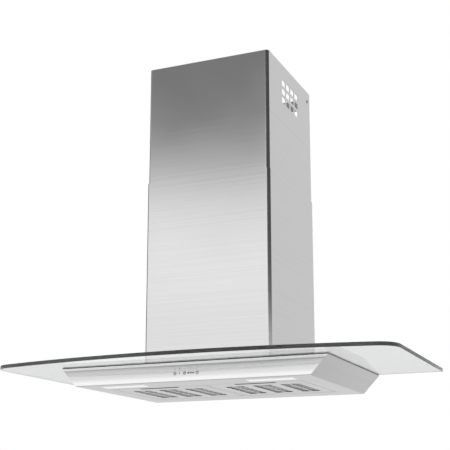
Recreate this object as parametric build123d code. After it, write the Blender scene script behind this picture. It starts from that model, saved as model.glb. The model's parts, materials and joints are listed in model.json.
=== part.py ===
"""Wall-hung range hood with a curved glass canopy, built as its separate pieces.

X runs to the viewer's right, Y into the wall and Z up, in millimetres.
The origin lies on the wall plane, midway between the two hanging holes.
"""

import os
from math import acos, cos, degrees, radians, sin, sqrt

from build123d import *

CUT = 1.0  # how far a hole is cut past the faces that it opens

# ---- glass canopy ----
GLASS_WIDTH = 900.0
GLASS_DEPTH = 484.0  # from the wall to the middle of the bowed front edge
GLASS_THICKNESS = 8.0
GLASS_FRONT_RADIUS = 1900.0
GLASS_CORNER_RADIUS = 48.0
GLASS_EDGE_BEVEL = 0.8
AIR_CORNER_RADIUS = 12.0
AIR_REAR_GAP = 24.0  # from the hanging plate to the air opening
GLASS_HOLE_RADIUS = 4.5

# ---- body under the glass ----
BODY_WIDTH = 608.0  # across the top, where the glass lies on it
BODY_DEPTH = 386.0
BODY_HEIGHT = 42.0  # from the glass to the underside
SIDE_INSET = 38.0  # how far each side slopes in by the underside
SHEET = 1.2
GASKET_THICKNESS = 2.0
GASKET_BORDER = 14.0
GASKET_SETBACK = 1.5
SEAL_BORDER = 10.0
LIP_HEIGHT = 6.0
LIP_REVEAL = 1.5
BOW_HEIGHT = 0.8  # how far the panel under the lip swells forward
FOOT_REVEAL = 0.5
FOLD_DEPTH = 6.0

# ---- chimney ----
LOWER_COVER_WIDTH = 302.0
LOWER_COVER_DEPTH = 293.0
LOWER_COVER_HEIGHT = 422.0
UPPER_COVER_HEIGHT = 400.0
UPPER_COVER_SHOWING = 280.0
COVER_SHEET = 1.0
COVER_GAP = 0.5
COVER_BEND_RADIUS = 8.0
COVER_RETURN = 12.0  # the covers' inward folds at the wall
VENT_ROWS = 3
VENT_COLUMNS = 4
VENT_WIDTH = 22.0
VENT_HEIGHT = 14.0
VENT_PITCH_Y = 29.0
VENT_PITCH_Z = 21.0
VENT_DROP = 66.0  # from the top of the cover to the middle of the field
VENT_SETBACK = 143.0  # from the cover's front face to the middle of the field

# ---- bracket that holds the upper cover to the wall ----
BRACKET_DROP = 24.0
BRACKET_HEIGHT = 28.0
BRACKET_SHEET = 2.0
BRACKET_EAR = 38.0
BRACKET_NOTCH_GAP = 1.0
BRACKET_HOLE_RADIUS = 2.75
BRACKET_HOLE_SPACING = 160.0
BRACKET_SCREW_RADIUS = 2.0
SCREW_HEAD_RADIUS = 3.6
SCREW_HEAD_HEIGHT = 2.2

# ---- filters ----
FILTER_WIDTH = 214.0
FILTER_DEPTH = 234.0
FILTER_HEIGHT = 12.0
FILTER_SHEET = 1.0
FILTER_WEB = 11.0  # steel left between the two filters
FILTER_SETBACK = 82.0  # from the body's front to the filters
FILTER_GAP = 1.0
FILTER_REAR_GAP = 2.0
FILTER_BACK_BORDER = 12.0
MESH_THICKNESS = 9.0
MESH_SHEET = 0.5
MESH_PITCH = 9.0
SLOT_WIDTH = 19.0
SLOT_DEPTH = 22.0
SLOT_CORNER_RADIUS = 2.0
SLOT_PITCH_X = 23.0
SLOT_PITCH_Y = 26.0
SLOT_ROWS = 6
BAND_PITCH = 63.5
BANDS = 3
SLOT_SETBACK = 48.0  # from the filter's front to the first row
PEG_RADIUS = 2.0
PEG_INSET = 4.0
PEG_GRIP = 3.4
PEG_PLAY = 0.05
CLIP_WIDTH = 8.0
CLIP_DEPTH = 12.0
CLIP_COVER = 2.0

# ---- filter grip and latch ----
GRIP_WIDTH = 92.0
GRIP_DEPTH = 13.0
GRIP_HEIGHT = 8.0
GRIP_SETBACK = 6.0
GRIP_SHEET = 1.0
LATCH_WIDTH = 17.0
LATCH_DEPTH = 6.0
LATCH_GAP = 0.3
TONGUE_WIDTH = 9.0
TONGUE_THICKNESS = 2.5
TONGUE_REACH = 0.5
SPRING_RADIUS = 1.7
SPRING_WIRE = 0.3
SPRING_TURNS = 4

# ---- lamps ----
LAMP_OFFSET = 168.0
LAMP_WIDTH = 102.0
LAMP_DEPTH = 27.0
LAMP_SETBACK = 29.0
LENS_GAP = 0.3
LENS_PROUD = 0.6
LENS_FLANGE = 2.2
LENS_FLANGE_THICKNESS = 1.2
LAMP_HOUSING_HEIGHT = 14.0
LAMP_WALL = 1.2
BOARD_THICKNESS = 1.6
LAMP_BOARD_MARGIN = 3.0
LED_COUNT = 8
LED_SIZE = 2.8
LED_HEIGHT = 0.8

# ---- controls ----
LIGHT_BUTTON_X = -29.0
TIMER_LIGHT_X = -18.5
SLOWER_BUTTON_X = -7.0
SPEED_LIGHT_X = 1.8
SPEED_LIGHT_PITCH = 5.4
SPEED_LIGHTS = 3
FASTER_BUTTON_X = 21.5
BUTTON_RADIUS = 3.2
BUTTON_PROUD = 1.2
BUTTON_DOME = 0.9
BUTTON_FLANGE = 1.3
BUTTON_FLANGE_THICKNESS = 1.2
BUTTON_TRAVEL = 1.5
BUTTON_PLAY = 0.06
BUTTON_REST_GAP = 0.3
STEM_RADIUS = 1.4
FASCIA_HOLE_GAP = 0.35
TIMER_LIGHT_RADIUS = 1.5
SPEED_LIGHT_SIZE = 3.2
LIGHT_PROUD = 0.3
LIGHT_GAP = 0.1
CONTROL_BOX_WIDTH = 82.0
CONTROL_BOX_HEIGHT = 29.0
CONTROL_BOX_DEPTH = 16.0
CONTROL_WALL = 2.0
CONTROL_GAP = 0.2
SWITCH_RADIUS = 1.8
SWITCH_BASE = 6.0
SWITCH_BASE_HEIGHT = 1.4
SWITCH_GAP = 0.2

# ---- blower ----
IMPELLER_RADIUS = 73.0
IMPELLER_WIDTH = 92.0
IMPELLER_DISC = 2.0
BLADE_COUNT = 30
BLADE_DEPTH = 12.0
BLADE_THICKNESS = 1.2
BLADE_TIP_GAP = 1.0  # from the wheel's rim in to the blades
BLADE_LEAN = 35.0
HUB_RADIUS = 13.0
HUB_LENGTH = 24.0
SCROLL_WALL = 2.0
SCROLL_SIDE_GAP = 7.0
SCROLL_GROWTH = 32.0
CUTOFF_GAP = 7.0
SCROLL_STEPS = 5
SCROLL_FLANGE = 8.0
OUTLET_DEPTH = 90.0
OUTLET_WALL_GAP = 45.0  # from the wall plane to the outlet's rear wall
INLET_RADIUS = 58.0
SHAFT_RADIUS = 4.0
SHAFT_PLAY = 0.05
MOTOR_RADIUS = 42.0
MOTOR_LENGTH = 40.0
MOTOR_BELL_RADIUS = 24.0
MOTOR_BELL_LENGTH = 5.0
MOTOR_ROUND = 4.0
SPIDER_THICKNESS = 2.0
SPIDER_HUB_RADIUS = 28.0
SPIDER_REACH = 71.0
SPIDER_ARM_WIDTH = 14.0
SPIDER_ARMS = 3

# ---- blower casing and what stands on it ----
CASING_WIDTH = 224.0
CASING_SHEET = 1.0
CASING_GAP = 4.0
OUTLET_RISE = 20.0
DECK_CLEARANCE = 9.0
DECK_SEAL = 1.0
DECK_SCREW_ROWS = (-40.0, -142.0, -244.0)
DECK_SCREW_RADIUS = 2.5
DECK_HEAD_RADIUS = 4.5
DECK_HEAD_HEIGHT = 3.0
DECK_SCREW_TAIL = 6.0
NUT_HEIGHT = 3.5
BUSH_PLAY = 0.1
BUSH_FLANGE = 2.0
SEAL_GAP = 1.0
HANG_PLATE = 1.5
HANG_HOLE_RADIUS = 4.2
HANG_HOLE_SPACING = 180.0
HANG_CLEARANCE = 30.0
HANG_MARGIN = 20.0
HANG_PLATE_SIDE_GAP = 10.0
COLLAR_RADIUS = 75.0
COLLAR_WALL = 2.0
COLLAR_HEIGHT = 46.0
COLLAR_FLANGE = 9.0
COLLAR_FLANGE_THICKNESS = 2.0
FLAP_RISE = 20.0
FLAP_GAP = 0.8
FLAP_THICKNESS = 1.5
FLAP_AXIS_OFFSET = 3.0
FLAP_BARREL_RADIUS = 2.0
FLAP_STOP = 4.0
FLAP_STOP_THICKNESS = 1.5
FLAP_STOP_GAP = 0.3
FLAP_PIN_RADIUS = 1.5
FLAP_PIN_REACH = 1.5
TERMINAL_WIDTH = 60.0
TERMINAL_DEPTH = 48.0
TERMINAL_HEIGHT = 28.0
TERMINAL_WALL = 2.0
TERMINAL_LID = 2.0
TERMINAL_X = -72.0
TERMINAL_SETBACK = 34.0
GLAND_RADIUS = 8.0
GLAND_BORE_RADIUS = 4.0
GLAND_LENGTH = 14.0
GLAND_NECK_RADIUS = 6.0
GLAND_ROUND = 2.0
CAPACITOR_RADIUS = 15.0
CAPACITOR_HEIGHT = 50.0
CAPACITOR_ROUND = 2.0
CAPACITOR_X = 80.0
CAPACITOR_SETBACK = 34.0
COVER_CLIP_HEIGHT = 28.0
COVER_CLIP_DEPTH = 40.0
COVER_CLIP_SHEET = 1.5
COVER_CLIP_LAP = 3.0

# ---- scroll, worked out from the impeller ----
scroll_start = IMPELLER_RADIUS + CUTOFF_GAP
scroll_end = scroll_start + SCROLL_GROWTH
tongue = scroll_end - OUTLET_DEPTH  # how far the outlet's front wall lies behind the shaft
scroll_half = IMPELLER_WIDTH / 2 + SCROLL_SIDE_GAP + SCROLL_WALL
scroll_y = -(OUTLET_WALL_GAP + scroll_end)
collar_y = -(OUTLET_WALL_GAP + OUTLET_DEPTH / 2)


def first_angle(offset):
    """Angle of the cut-off, where the spiral at this offset meets the outlet's front wall."""
    return degrees(acos((tongue - offset) / (scroll_start + offset)))


def scroll_radius(angle, offset):
    """The spiral grows evenly with the angle, from the cut-off round to the outlet."""
    first = first_angle(offset)
    return scroll_start + offset + SCROLL_GROWTH * (angle - first) / (360 - first)


# ---- heights, from the hanging holes down ----
casing_height = (
    scroll_radius(270, SCROLL_WALL) + scroll_radius(90, SCROLL_WALL) + CASING_GAP + OUTLET_RISE
)
casing_top = -HANG_CLEARANCE
casing_floor = casing_top - casing_height
casing_inner_top = casing_top - CASING_SHEET
scroll_z = casing_floor + CASING_GAP + scroll_radius(270, SCROLL_WALL)
glass_top = casing_floor - DECK_SEAL
glass_under = glass_top - GLASS_THICKNESS
body_top = glass_under - GASKET_THICKNESS
body_bottom = glass_under - BODY_HEIGHT
panel_top = body_bottom + SHEET
lower_cover_top = glass_top + LOWER_COVER_HEIGHT
chimney_top = lower_cover_top + UPPER_COVER_SHOWING
flap_z = casing_top + FLAP_RISE

# ---- plan sizes that several pieces share ----
lower_inner_half = LOWER_COVER_WIDTH / 2 - COVER_SHEET
upper_width = 2 * (lower_inner_half - COVER_GAP)
upper_rear = -COVER_SHEET - COVER_GAP
upper_front = -LOWER_COVER_DEPTH + COVER_SHEET + COVER_GAP
upper_depth = upper_rear - upper_front
upper_inner_half = upper_width / 2 - COVER_SHEET
casing_half = CASING_WIDTH / 2
casing_front = scroll_y - scroll_radius(180, SCROLL_WALL) - CASING_GAP - CASING_SHEET
deck_half = lower_inner_half - DECK_CLEARANCE
deck_screw_x = (casing_half + deck_half) / 2
plate_half = upper_inner_half - COVER_RETURN - HANG_PLATE_SIDE_GAP
air_half = casing_half - CASING_SHEET
air_front = casing_front + CASING_SHEET
air_rear = -HANG_PLATE - AIR_REAR_GAP
lip_back = -BODY_DEPTH + LIP_REVEAL + SHEET
fold_rear = -BODY_DEPTH + FOLD_DEPTH
lip_bottom = body_top - LIP_HEIGHT
filter_front = -BODY_DEPTH + FILTER_SETBACK
filter_rear = filter_front + FILTER_DEPTH
filter_center_x = (FILTER_WIDTH + FILTER_WEB) / 2
filter_top = body_bottom + FILTER_HEIGHT
peg_y = filter_rear - PEG_INSET
peg_z = body_bottom + PEG_INSET
grip_front = filter_front + GRIP_SETBACK
grip_rear = grip_front + GRIP_DEPTH
mesh_front = grip_rear + GRIP_SHEET
latch_front = grip_front + LATCH_GAP
tongue_z = body_bottom + FILTER_SHEET + GRIP_HEIGHT / 2
lamp_front = -BODY_DEPTH + LAMP_SETBACK
lamp_y = lamp_front + LAMP_DEPTH / 2
control_z = (lip_bottom + body_bottom) / 2
panel_y = -BODY_DEPTH + (LIP_REVEAL + FOOT_REVEAL) / 2 - BOW_HEIGHT
control_front = lip_back + CONTROL_GAP
control_back = control_front + CONTROL_WALL
board_front = control_front + CONTROL_BOX_DEPTH - BOARD_THICKNESS


# ---- helpers ----
def block(x, y, z):
    """A box between its low and high limits along each axis."""
    middle = Pos((x[0] + x[1]) / 2, (y[0] + y[1]) / 2, (z[0] + z[1]) / 2)
    return middle * Box(x[1] - x[0], y[1] - y[0], z[1] - z[0])


def rod_x(x, y, z, radius):
    """A cylinder along X between two limits."""
    return Pos((x[0] + x[1]) / 2, y, z) * Rot(0, 90, 0) * Cylinder(radius, x[1] - x[0])


def rod_y(x, y, z, radius):
    """A cylinder along Y between two limits."""
    return Pos(x, (y[0] + y[1]) / 2, z) * Rot(90, 0, 0) * Cylinder(radius, y[1] - y[0])


def rod_z(x, y, z, radius):
    """A cylinder along Z between two limits."""
    return Pos(x, y, (z[0] + z[1]) / 2) * Cylinder(radius, z[1] - z[0])


def flip(shape):
    """The same piece on the other side of the hood's middle plane."""
    return mirror(shape, about=Plane.YZ)


def save(name, shape):
    """Writes one named piece."""
    shape.label = name
    export_step(shape, "parts/" + name + ".step")


# ---- glass and its seals ----
def glass_outline():
    """Straight back and sides, a bowed front edge and round front corners."""
    half = GLASS_WIDTH / 2
    sag = GLASS_FRONT_RADIUS - sqrt(GLASS_FRONT_RADIUS**2 - half**2)
    side_y = -GLASS_DEPTH + sag
    back = Polyline((-half, side_y), (-half, 0), (half, 0), (half, side_y))
    front = ThreePointArc((half, side_y), (0, -GLASS_DEPTH), (-half, side_y))
    face = make_face([back, front])
    return fillet(face.vertices().group_by(Axis.Y)[0], radius=GLASS_CORNER_RADIUS)


def deck_screw_places():
    """The six screws that clamp the casing, the glass and the top frame together."""
    return [(side * deck_screw_x, y) for side in (-1, 1) for y in DECK_SCREW_ROWS]


def air_hole(low, high, margin=0.0):
    """The round-cornered air opening between two heights, widened by a margin."""
    width = 2 * (air_half + margin)
    depth = air_rear - air_front + 2 * margin
    face = RectangleRounded(width, depth, AIR_CORNER_RADIUS + margin)
    return Pos(0, (air_front + air_rear) / 2, low) * extrude(face, amount=high - low)


def glass_canopy():
    sheet = Pos(0, 0, glass_under) * extrude(glass_outline(), amount=GLASS_THICKNESS)
    for face in (sheet.faces().sort_by(Axis.Z)[-1], sheet.faces().sort_by(Axis.Z)[0]):
        sheet = chamfer(face.edges(), GLASS_EDGE_BEVEL)
    sheet -= air_hole(glass_under - CUT, glass_top + CUT)
    for x, y in deck_screw_places():
        sheet -= rod_z(x, y, (glass_under - CUT, glass_top + CUT), GLASS_HOLE_RADIUS)
    return sheet


def glass_gasket():
    half = BODY_WIDTH / 2 - GASKET_SETBACK
    front = -BODY_DEPTH + GASKET_SETBACK
    inner = half - GASKET_BORDER
    ring = block((-half, half), (front, 0), (body_top, glass_under))
    return ring - block(
        (-inner, inner), (front + GASKET_BORDER, -GASKET_BORDER), (body_top - CUT, glass_under + CUT)
    )


def air_seal(low, high):
    """A flat foam ring round the air opening, with the deck's screw holes in it."""
    ring = block((-deck_half, deck_half), (casing_front, air_rear + SEAL_BORDER), (low, high))
    ring -= air_hole(low - CUT, high + CUT)
    for x, y in deck_screw_places():
        ring -= rod_z(x, y, (low - CUT, high + CUT), DECK_HEAD_RADIUS + BUSH_FLANGE + SEAL_GAP)
    return ring


# ---- body ----
def body_space(sheet):
    """The body's outer form, or its inside when a sheet thickness is taken off the sides."""
    rise = body_top - body_bottom
    along = sheet * sqrt(1 + (SIDE_INSET / rise) ** 2)
    top = BODY_WIDTH / 2 - along
    bottom = top - SIDE_INSET
    outline = Polyline(
        (-top, body_top), (top, body_top), (bottom, body_bottom), (-bottom, body_bottom), close=True
    )
    return extrude(Plane.XZ * make_face(outline), amount=BODY_DEPTH)


def fascia_lines():
    """The lip, the swelling panel under it and the fold at its foot, outside and inside."""
    lip_foot = (-BODY_DEPTH + LIP_REVEAL, lip_bottom)
    panel_foot = (-BODY_DEPTH + FOOT_REVEAL, body_bottom)
    inner_foot = (-BODY_DEPTH + FOOT_REVEAL + SHEET, panel_top)
    inner_head = (lip_back, lip_bottom)
    outer_bow = ThreePointArc(lip_foot, (panel_y, control_z), panel_foot)
    inner_bow = ThreePointArc(inner_head, (panel_y + SHEET, control_z), inner_foot)
    return lip_foot, panel_foot, inner_foot, inner_head, outer_bow, inner_bow


def fascia_profile():
    lip_foot, panel_foot, inner_foot, inner_head, outer_bow, inner_bow = fascia_lines()
    lip = Polyline(
        inner_head, (lip_back, body_top), (-BODY_DEPTH, body_top), (-BODY_DEPTH, lip_bottom), lip_foot
    )
    fold = Polyline(panel_foot, (fold_rear, body_bottom), (fold_rear, panel_top), inner_foot)
    return make_face([lip, outer_bow, fold, inner_bow])


def space_in_front():
    """Everything in front of the fascia's inner surface, to trim what butts against it."""
    lip_foot, panel_foot, inner_foot, inner_head, outer_bow, inner_bow = fascia_lines()
    far = -BODY_DEPTH - CUT
    rest = Polyline(
        inner_foot,
        (fold_rear, panel_top),
        (fold_rear, body_bottom - CUT),
        (far, body_bottom - CUT),
        (far, body_top + CUT),
        (lip_back, body_top + CUT),
        inner_head,
    )
    half = BODY_WIDTH / 2 + CUT
    return Pos(-half, 0, 0) * extrude(Plane.YZ * make_face([rest, inner_bow]), amount=2 * half)


def control_places():
    """Middle of each push button along X."""
    return (LIGHT_BUTTON_X, SLOWER_BUTTON_X, FASTER_BUTTON_X)


def speed_light_places():
    return [SPEED_LIGHT_X + i * SPEED_LIGHT_PITCH for i in range(SPEED_LIGHTS)]


def control_holes(y, button_gap, light_gap):
    """Holes for the buttons and the indicator lights through a panel between two depths."""
    holes = [rod_y(x, y, control_z, BUTTON_RADIUS + button_gap) for x in control_places()]
    holes.append(rod_y(TIMER_LIGHT_X, y, control_z, TIMER_LIGHT_RADIUS + light_gap))
    half = SPEED_LIGHT_SIZE / 2 + light_gap
    for x in speed_light_places():
        holes.append(block((x - half, x + half), y, (control_z - half, control_z + half)))
    return holes


def front_fascia():
    half = BODY_WIDTH / 2 + CUT
    sheet = Pos(-half, 0, 0) * extrude(Plane.YZ * fascia_profile(), amount=2 * half)
    sheet &= body_space(0)
    return sheet - control_holes((-BODY_DEPTH, panel_y + SHEET + CUT), FASCIA_HOLE_GAP, LIGHT_GAP)


def right_side_panel():
    walls = body_space(0) - body_space(SHEET)
    length = block((0, BODY_WIDTH), (-BODY_DEPTH, -SHEET), (body_bottom, body_top))
    return (walls & length) - space_in_front()


def rear_panel():
    return body_space(0) & block((-BODY_WIDTH, BODY_WIDTH), (-SHEET, 0), (body_bottom, body_top))


def top_frame():
    frame = body_space(SHEET) & block(
        (-BODY_WIDTH, BODY_WIDTH), (lip_back, -SHEET), (body_top - SHEET, body_top)
    )
    frame -= air_hole(body_top - SHEET - CUT, body_top + CUT)
    for x, y in deck_screw_places():
        frame -= rod_z(x, y, (body_top - SHEET - CUT, body_top + CUT), DECK_SCREW_RADIUS + BUSH_PLAY)
    return frame


def filter_bay(x):
    """The hole that one filter closes."""
    half = FILTER_WIDTH / 2 + FILTER_GAP
    return block(
        (x - half, x + half),
        (filter_front - FILTER_GAP, filter_rear + FILTER_REAR_GAP),
        (body_bottom - CUT, panel_top + CUT),
    )


def underside_panel():
    panel = body_space(SHEET) & block(
        (-BODY_WIDTH, BODY_WIDTH), (fold_rear, -SHEET), (body_bottom, panel_top)
    )
    for side in (-1, 1):
        panel -= filter_bay(side * filter_center_x)
        panel -= block(
            (side * LAMP_OFFSET - LAMP_WIDTH / 2, side * LAMP_OFFSET + LAMP_WIDTH / 2),
            (lamp_front, lamp_front + LAMP_DEPTH),
            (body_bottom - CUT, panel_top + CUT),
        )
    return panel


def filter_clips():
    """Three sockets behind the filter bays that carry the filters' rear pegs."""
    outer = filter_center_x + FILTER_WIDTH / 2 + FILTER_GAP
    inner = filter_center_x - FILTER_WIDTH / 2 - FILTER_GAP
    depth = (peg_y - CLIP_DEPTH / 2, peg_y + CLIP_DEPTH / 2)
    height = (panel_top, peg_z + PEG_RADIUS + CLIP_COVER)
    spans = ((-outer - CLIP_WIDTH, -outer), (-inner, inner), (outer, outer + CLIP_WIDTH))
    clips = []
    for span in spans:
        clip = block(span, depth, height)
        for low, high in ((-outer - PEG_GRIP, -inner + PEG_GRIP), (inner - PEG_GRIP, outer + PEG_GRIP)):
            clip -= rod_x((low - PEG_PLAY, high + PEG_PLAY), peg_y, peg_z, PEG_RADIUS + PEG_PLAY)
        clips.append(clip)
    return Compound(children=clips)


# ---- filters ----
def filter_slots(x):
    """The three bands of slots in a filter's face, two columns to a band."""
    slot = RectangleRounded(SLOT_WIDTH, SLOT_DEPTH, SLOT_CORNER_RADIUS)
    depth = FILTER_SHEET + 2 * CUT
    first = filter_front + SLOT_SETBACK + SLOT_DEPTH / 2
    slots = []
    for band in range(BANDS):
        middle = x + (band - (BANDS - 1) / 2) * BAND_PITCH
        for side in (-0.5, 0.5):
            for row in range(SLOT_ROWS):
                place = Pos(middle + side * SLOT_PITCH_X, first + row * SLOT_PITCH_Y, body_bottom - CUT)
                slots.append(place * extrude(slot, amount=depth))
    return slots


def tongue_slot(x):
    """The way through which a latch's tongue passes the grip and the filter's front wall."""
    half = TONGUE_WIDTH / 2 + LATCH_GAP
    thick = TONGUE_THICKNESS / 2 + LATCH_GAP
    middle = latch_x(x)
    return block(
        (middle - half, middle + half),
        (filter_front - CUT, grip_front + GRIP_SHEET / 2),
        (tongue_z - thick, tongue_z + thick),
    )


def latch_x(x):
    """Middle of the latch, at the right end of the grip."""
    return x + GRIP_WIDTH / 2 - LATCH_WIDTH / 2 - LATCH_GAP


def filter_tray(x):
    half = FILTER_WIDTH / 2
    inner = half - FILTER_SHEET
    tray = block((x - half, x + half), (filter_front, filter_rear), (body_bottom, filter_top))
    tray -= block(
        (x - inner, x + inner),
        (filter_front + FILTER_SHEET, filter_rear - FILTER_SHEET),
        (body_bottom + FILTER_SHEET, filter_top + CUT),
    )
    tray -= filter_slots(x)
    tray -= block(
        (x - GRIP_WIDTH / 2, x + GRIP_WIDTH / 2),
        (grip_front, grip_rear),
        (body_bottom - CUT, body_bottom + FILTER_SHEET + CUT),
    )
    tray -= tongue_slot(x)
    reach = half + FILTER_GAP + PEG_GRIP
    tray += rod_x((x + half, x + reach), peg_y, peg_z, PEG_RADIUS)
    tray += rod_x((x - reach, x - half), peg_y, peg_z, PEG_RADIUS)
    return tray


def filter_mesh(x):
    """A corrugated sheet of expanded aluminium, whose folds fill the tray's depth."""
    half = FILTER_WIDTH / 2 - FILTER_SHEET
    low = body_bottom + FILTER_SHEET
    high = low + MESH_THICKNESS - MESH_SHEET
    folds = round(4 * half / MESH_PITCH)
    under = [(x - half + 2 * half * i / folds, (low, high)[i % 2]) for i in range(folds + 1)]
    over = [(px, pz + MESH_SHEET) for px, pz in reversed(under)]
    rear = filter_rear - FILTER_SHEET
    sheet = extrude(Plane.XZ * make_face(Polyline(*under, *over, close=True)), amount=rear - mesh_front)
    return Pos(0, rear, 0) * sheet


def filter_back(x):
    """The frame that keeps the mesh in the tray, with a bar across its middle."""
    outer = FILTER_WIDTH / 2 - FILTER_SHEET
    inner = outer - FILTER_BACK_BORDER
    low = body_bottom + FILTER_SHEET + MESH_THICKNESS
    rear = filter_rear - FILTER_SHEET
    front = mesh_front
    frame = block((x - outer, x + outer), (front, rear), (low, low + FILTER_SHEET))
    bar = FILTER_BACK_BORDER / 2
    for span in ((x - inner, x - bar), (x + bar, x + inner)):
        frame -= block(
            span,
            (front + FILTER_BACK_BORDER, rear - FILTER_BACK_BORDER),
            (low - CUT, low + FILTER_SHEET + CUT),
        )
    return frame


def filter_grip(x):
    """A cup sunk into the filter's face, which fingers pull the filter down by."""
    outer = GRIP_WIDTH / 2 + GRIP_SHEET
    low = body_bottom + FILTER_SHEET
    high = low + GRIP_HEIGHT
    cup = block((x - outer, x + outer), (grip_front - GRIP_SHEET, grip_rear + GRIP_SHEET), (low, high))
    cup -= block(
        (x - GRIP_WIDTH / 2, x + GRIP_WIDTH / 2), (grip_front, grip_rear), (low - CUT, high - GRIP_SHEET)
    )
    return cup - tongue_slot(x)


def filter_latch(x):
    """A sprung slider: a finger block in the grip, and a tongue out through the front wall."""
    middle = latch_x(x)
    half = LATCH_WIDTH / 2 - LATCH_GAP
    ceiling = body_bottom + FILTER_SHEET + GRIP_HEIGHT - GRIP_SHEET - LATCH_GAP
    slider = block(
        (middle - half, middle + half),
        (latch_front, latch_front + LATCH_DEPTH),
        (body_bottom + LATCH_GAP, ceiling),
    )
    slider += block(
        (middle - TONGUE_WIDTH / 2, middle + TONGUE_WIDTH / 2),
        (filter_front - TONGUE_REACH, latch_front + LATCH_DEPTH / 2),
        (tongue_z - TONGUE_THICKNESS / 2, tongue_z + TONGUE_THICKNESS / 2),
    )
    return slider


def latch_spring(x):
    """The coil between the slider and the rear wall of the grip."""
    start = latch_front + LATCH_DEPTH + SPRING_WIRE
    length = grip_rear - SPRING_WIRE - start
    path = Helix(length / SPRING_TURNS, length, SPRING_RADIUS)
    section = Plane(origin=path @ 0, z_dir=path % 0) * Circle(SPRING_WIRE)
    coil = sweep(section, path=path, is_frenet=True)
    return Pos(latch_x(x), start, tongue_z) * Rot(-90, 0, 0) * coil


# ---- lamps ----
def lamp_lens(x):
    half = LAMP_WIDTH / 2 - LENS_GAP
    front = lamp_front + LENS_GAP
    rear = lamp_front + LAMP_DEPTH - LENS_GAP
    window = block((x - half, x + half), (front, rear), (body_bottom - LENS_PROUD, panel_top))
    half += LENS_FLANGE
    flange = block(
        (x - half, x + half),
        (front - LENS_FLANGE, rear + LENS_FLANGE),
        (panel_top, panel_top + LENS_FLANGE_THICKNESS),
    )
    return window + flange


def lamp_housing(x):
    """A tray turned upside down over the lens."""
    half = LAMP_WIDTH / 2 + LENS_FLANGE
    front = lamp_front - LENS_FLANGE
    rear = lamp_front + LAMP_DEPTH + LENS_FLANGE
    top = panel_top + LAMP_HOUSING_HEIGHT
    shell = block(
        (x - half - LAMP_WALL, x + half + LAMP_WALL),
        (front - LAMP_WALL, rear + LAMP_WALL),
        (panel_top, top),
    )
    return shell - block((x - half, x + half), (front, rear), (panel_top - CUT, top - LAMP_WALL))


def lamp_board(x):
    """The lamp's board with its row of light-emitting diodes."""
    half = LAMP_WIDTH / 2 - LAMP_BOARD_MARGIN
    depth = LAMP_DEPTH / 2 - LAMP_BOARD_MARGIN
    high = panel_top + LAMP_HOUSING_HEIGHT - LAMP_WALL
    low = high - BOARD_THICKNESS
    board = block((x - half, x + half), (lamp_y - depth, lamp_y + depth), (low, high))
    pitch = LAMP_WIDTH / LED_COUNT
    for i in range(LED_COUNT):
        middle = x + (i - (LED_COUNT - 1) / 2) * pitch
        board += block(
            (middle - LED_SIZE / 2, middle + LED_SIZE / 2),
            (lamp_y - LED_SIZE / 2, lamp_y + LED_SIZE / 2),
            (low - LED_HEIGHT, low),
        )
    return board


# ---- controls ----
def control_box():
    """The plastic box behind the fascia, which guides the buttons."""
    middle = (LIGHT_BUTTON_X + FASTER_BUTTON_X) / 2
    half = CONTROL_BOX_WIDTH / 2
    top = panel_top + CONTROL_BOX_HEIGHT
    box = block(
        (middle - half, middle + half),
        (control_front, control_front + CONTROL_BOX_DEPTH),
        (panel_top, top),
    )
    box -= block(
        (middle - half + CONTROL_WALL, middle + half - CONTROL_WALL),
        (control_back, control_front + CONTROL_BOX_DEPTH + CUT),
        (panel_top + CONTROL_WALL, top - CONTROL_WALL),
    )
    return box - control_holes((control_front - CUT, control_back + CUT), BUTTON_PLAY, LIGHT_GAP)


def switch_top():
    """How far back the switches' faces lie when every button is pushed home."""
    flange = control_back + BUTTON_REST_GAP + BUTTON_FLANGE_THICKNESS
    return flange + BUTTON_TRAVEL + SWITCH_GAP * 2


def control_board():
    middle = (LIGHT_BUTTON_X + FASTER_BUTTON_X) / 2
    half = CONTROL_BOX_WIDTH / 2 - CONTROL_WALL
    board = block(
        (middle - half, middle + half),
        (board_front, board_front + BOARD_THICKNESS),
        (panel_top + CONTROL_WALL, panel_top + CONTROL_BOX_HEIGHT - CONTROL_WALL),
    )
    for x in control_places():
        board += block(
            (x - SWITCH_BASE / 2, x + SWITCH_BASE / 2),
            (board_front - SWITCH_BASE_HEIGHT, board_front),
            (control_z - SWITCH_BASE / 2, control_z + SWITCH_BASE / 2),
        )
        board += rod_y(x, (switch_top() + STEM_RADIUS, board_front), control_z, SWITCH_RADIUS)
    return board


def push_button(x):
    """A domed cap with a flange behind the guide plate and a short stem for its switch."""
    front = panel_y - BUTTON_PROUD
    flange_front = control_back + BUTTON_REST_GAP
    flange_back = flange_front + BUTTON_FLANGE_THICKNESS
    cap = rod_y(x, (front, flange_front), control_z, BUTTON_RADIUS)
    cap = fillet(cap.edges().sort_by(Axis.Y)[0], BUTTON_DOME)
    cap += rod_y(x, (flange_front, flange_back), control_z, BUTTON_RADIUS + BUTTON_FLANGE)
    stem_end = switch_top() + STEM_RADIUS - BUTTON_TRAVEL - SWITCH_GAP
    cap += rod_y(x, (flange_back, stem_end), control_z, STEM_RADIUS)
    return cap


def timer_light():
    return rod_y(TIMER_LIGHT_X, (panel_y - LIGHT_PROUD, board_front), control_z, TIMER_LIGHT_RADIUS)


def speed_lights():
    half = SPEED_LIGHT_SIZE / 2
    depth = (panel_y - LIGHT_PROUD, board_front)
    height = (control_z - half, control_z + half)
    return Compound(children=[block((x - half, x + half), depth, height) for x in speed_light_places()])


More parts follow.
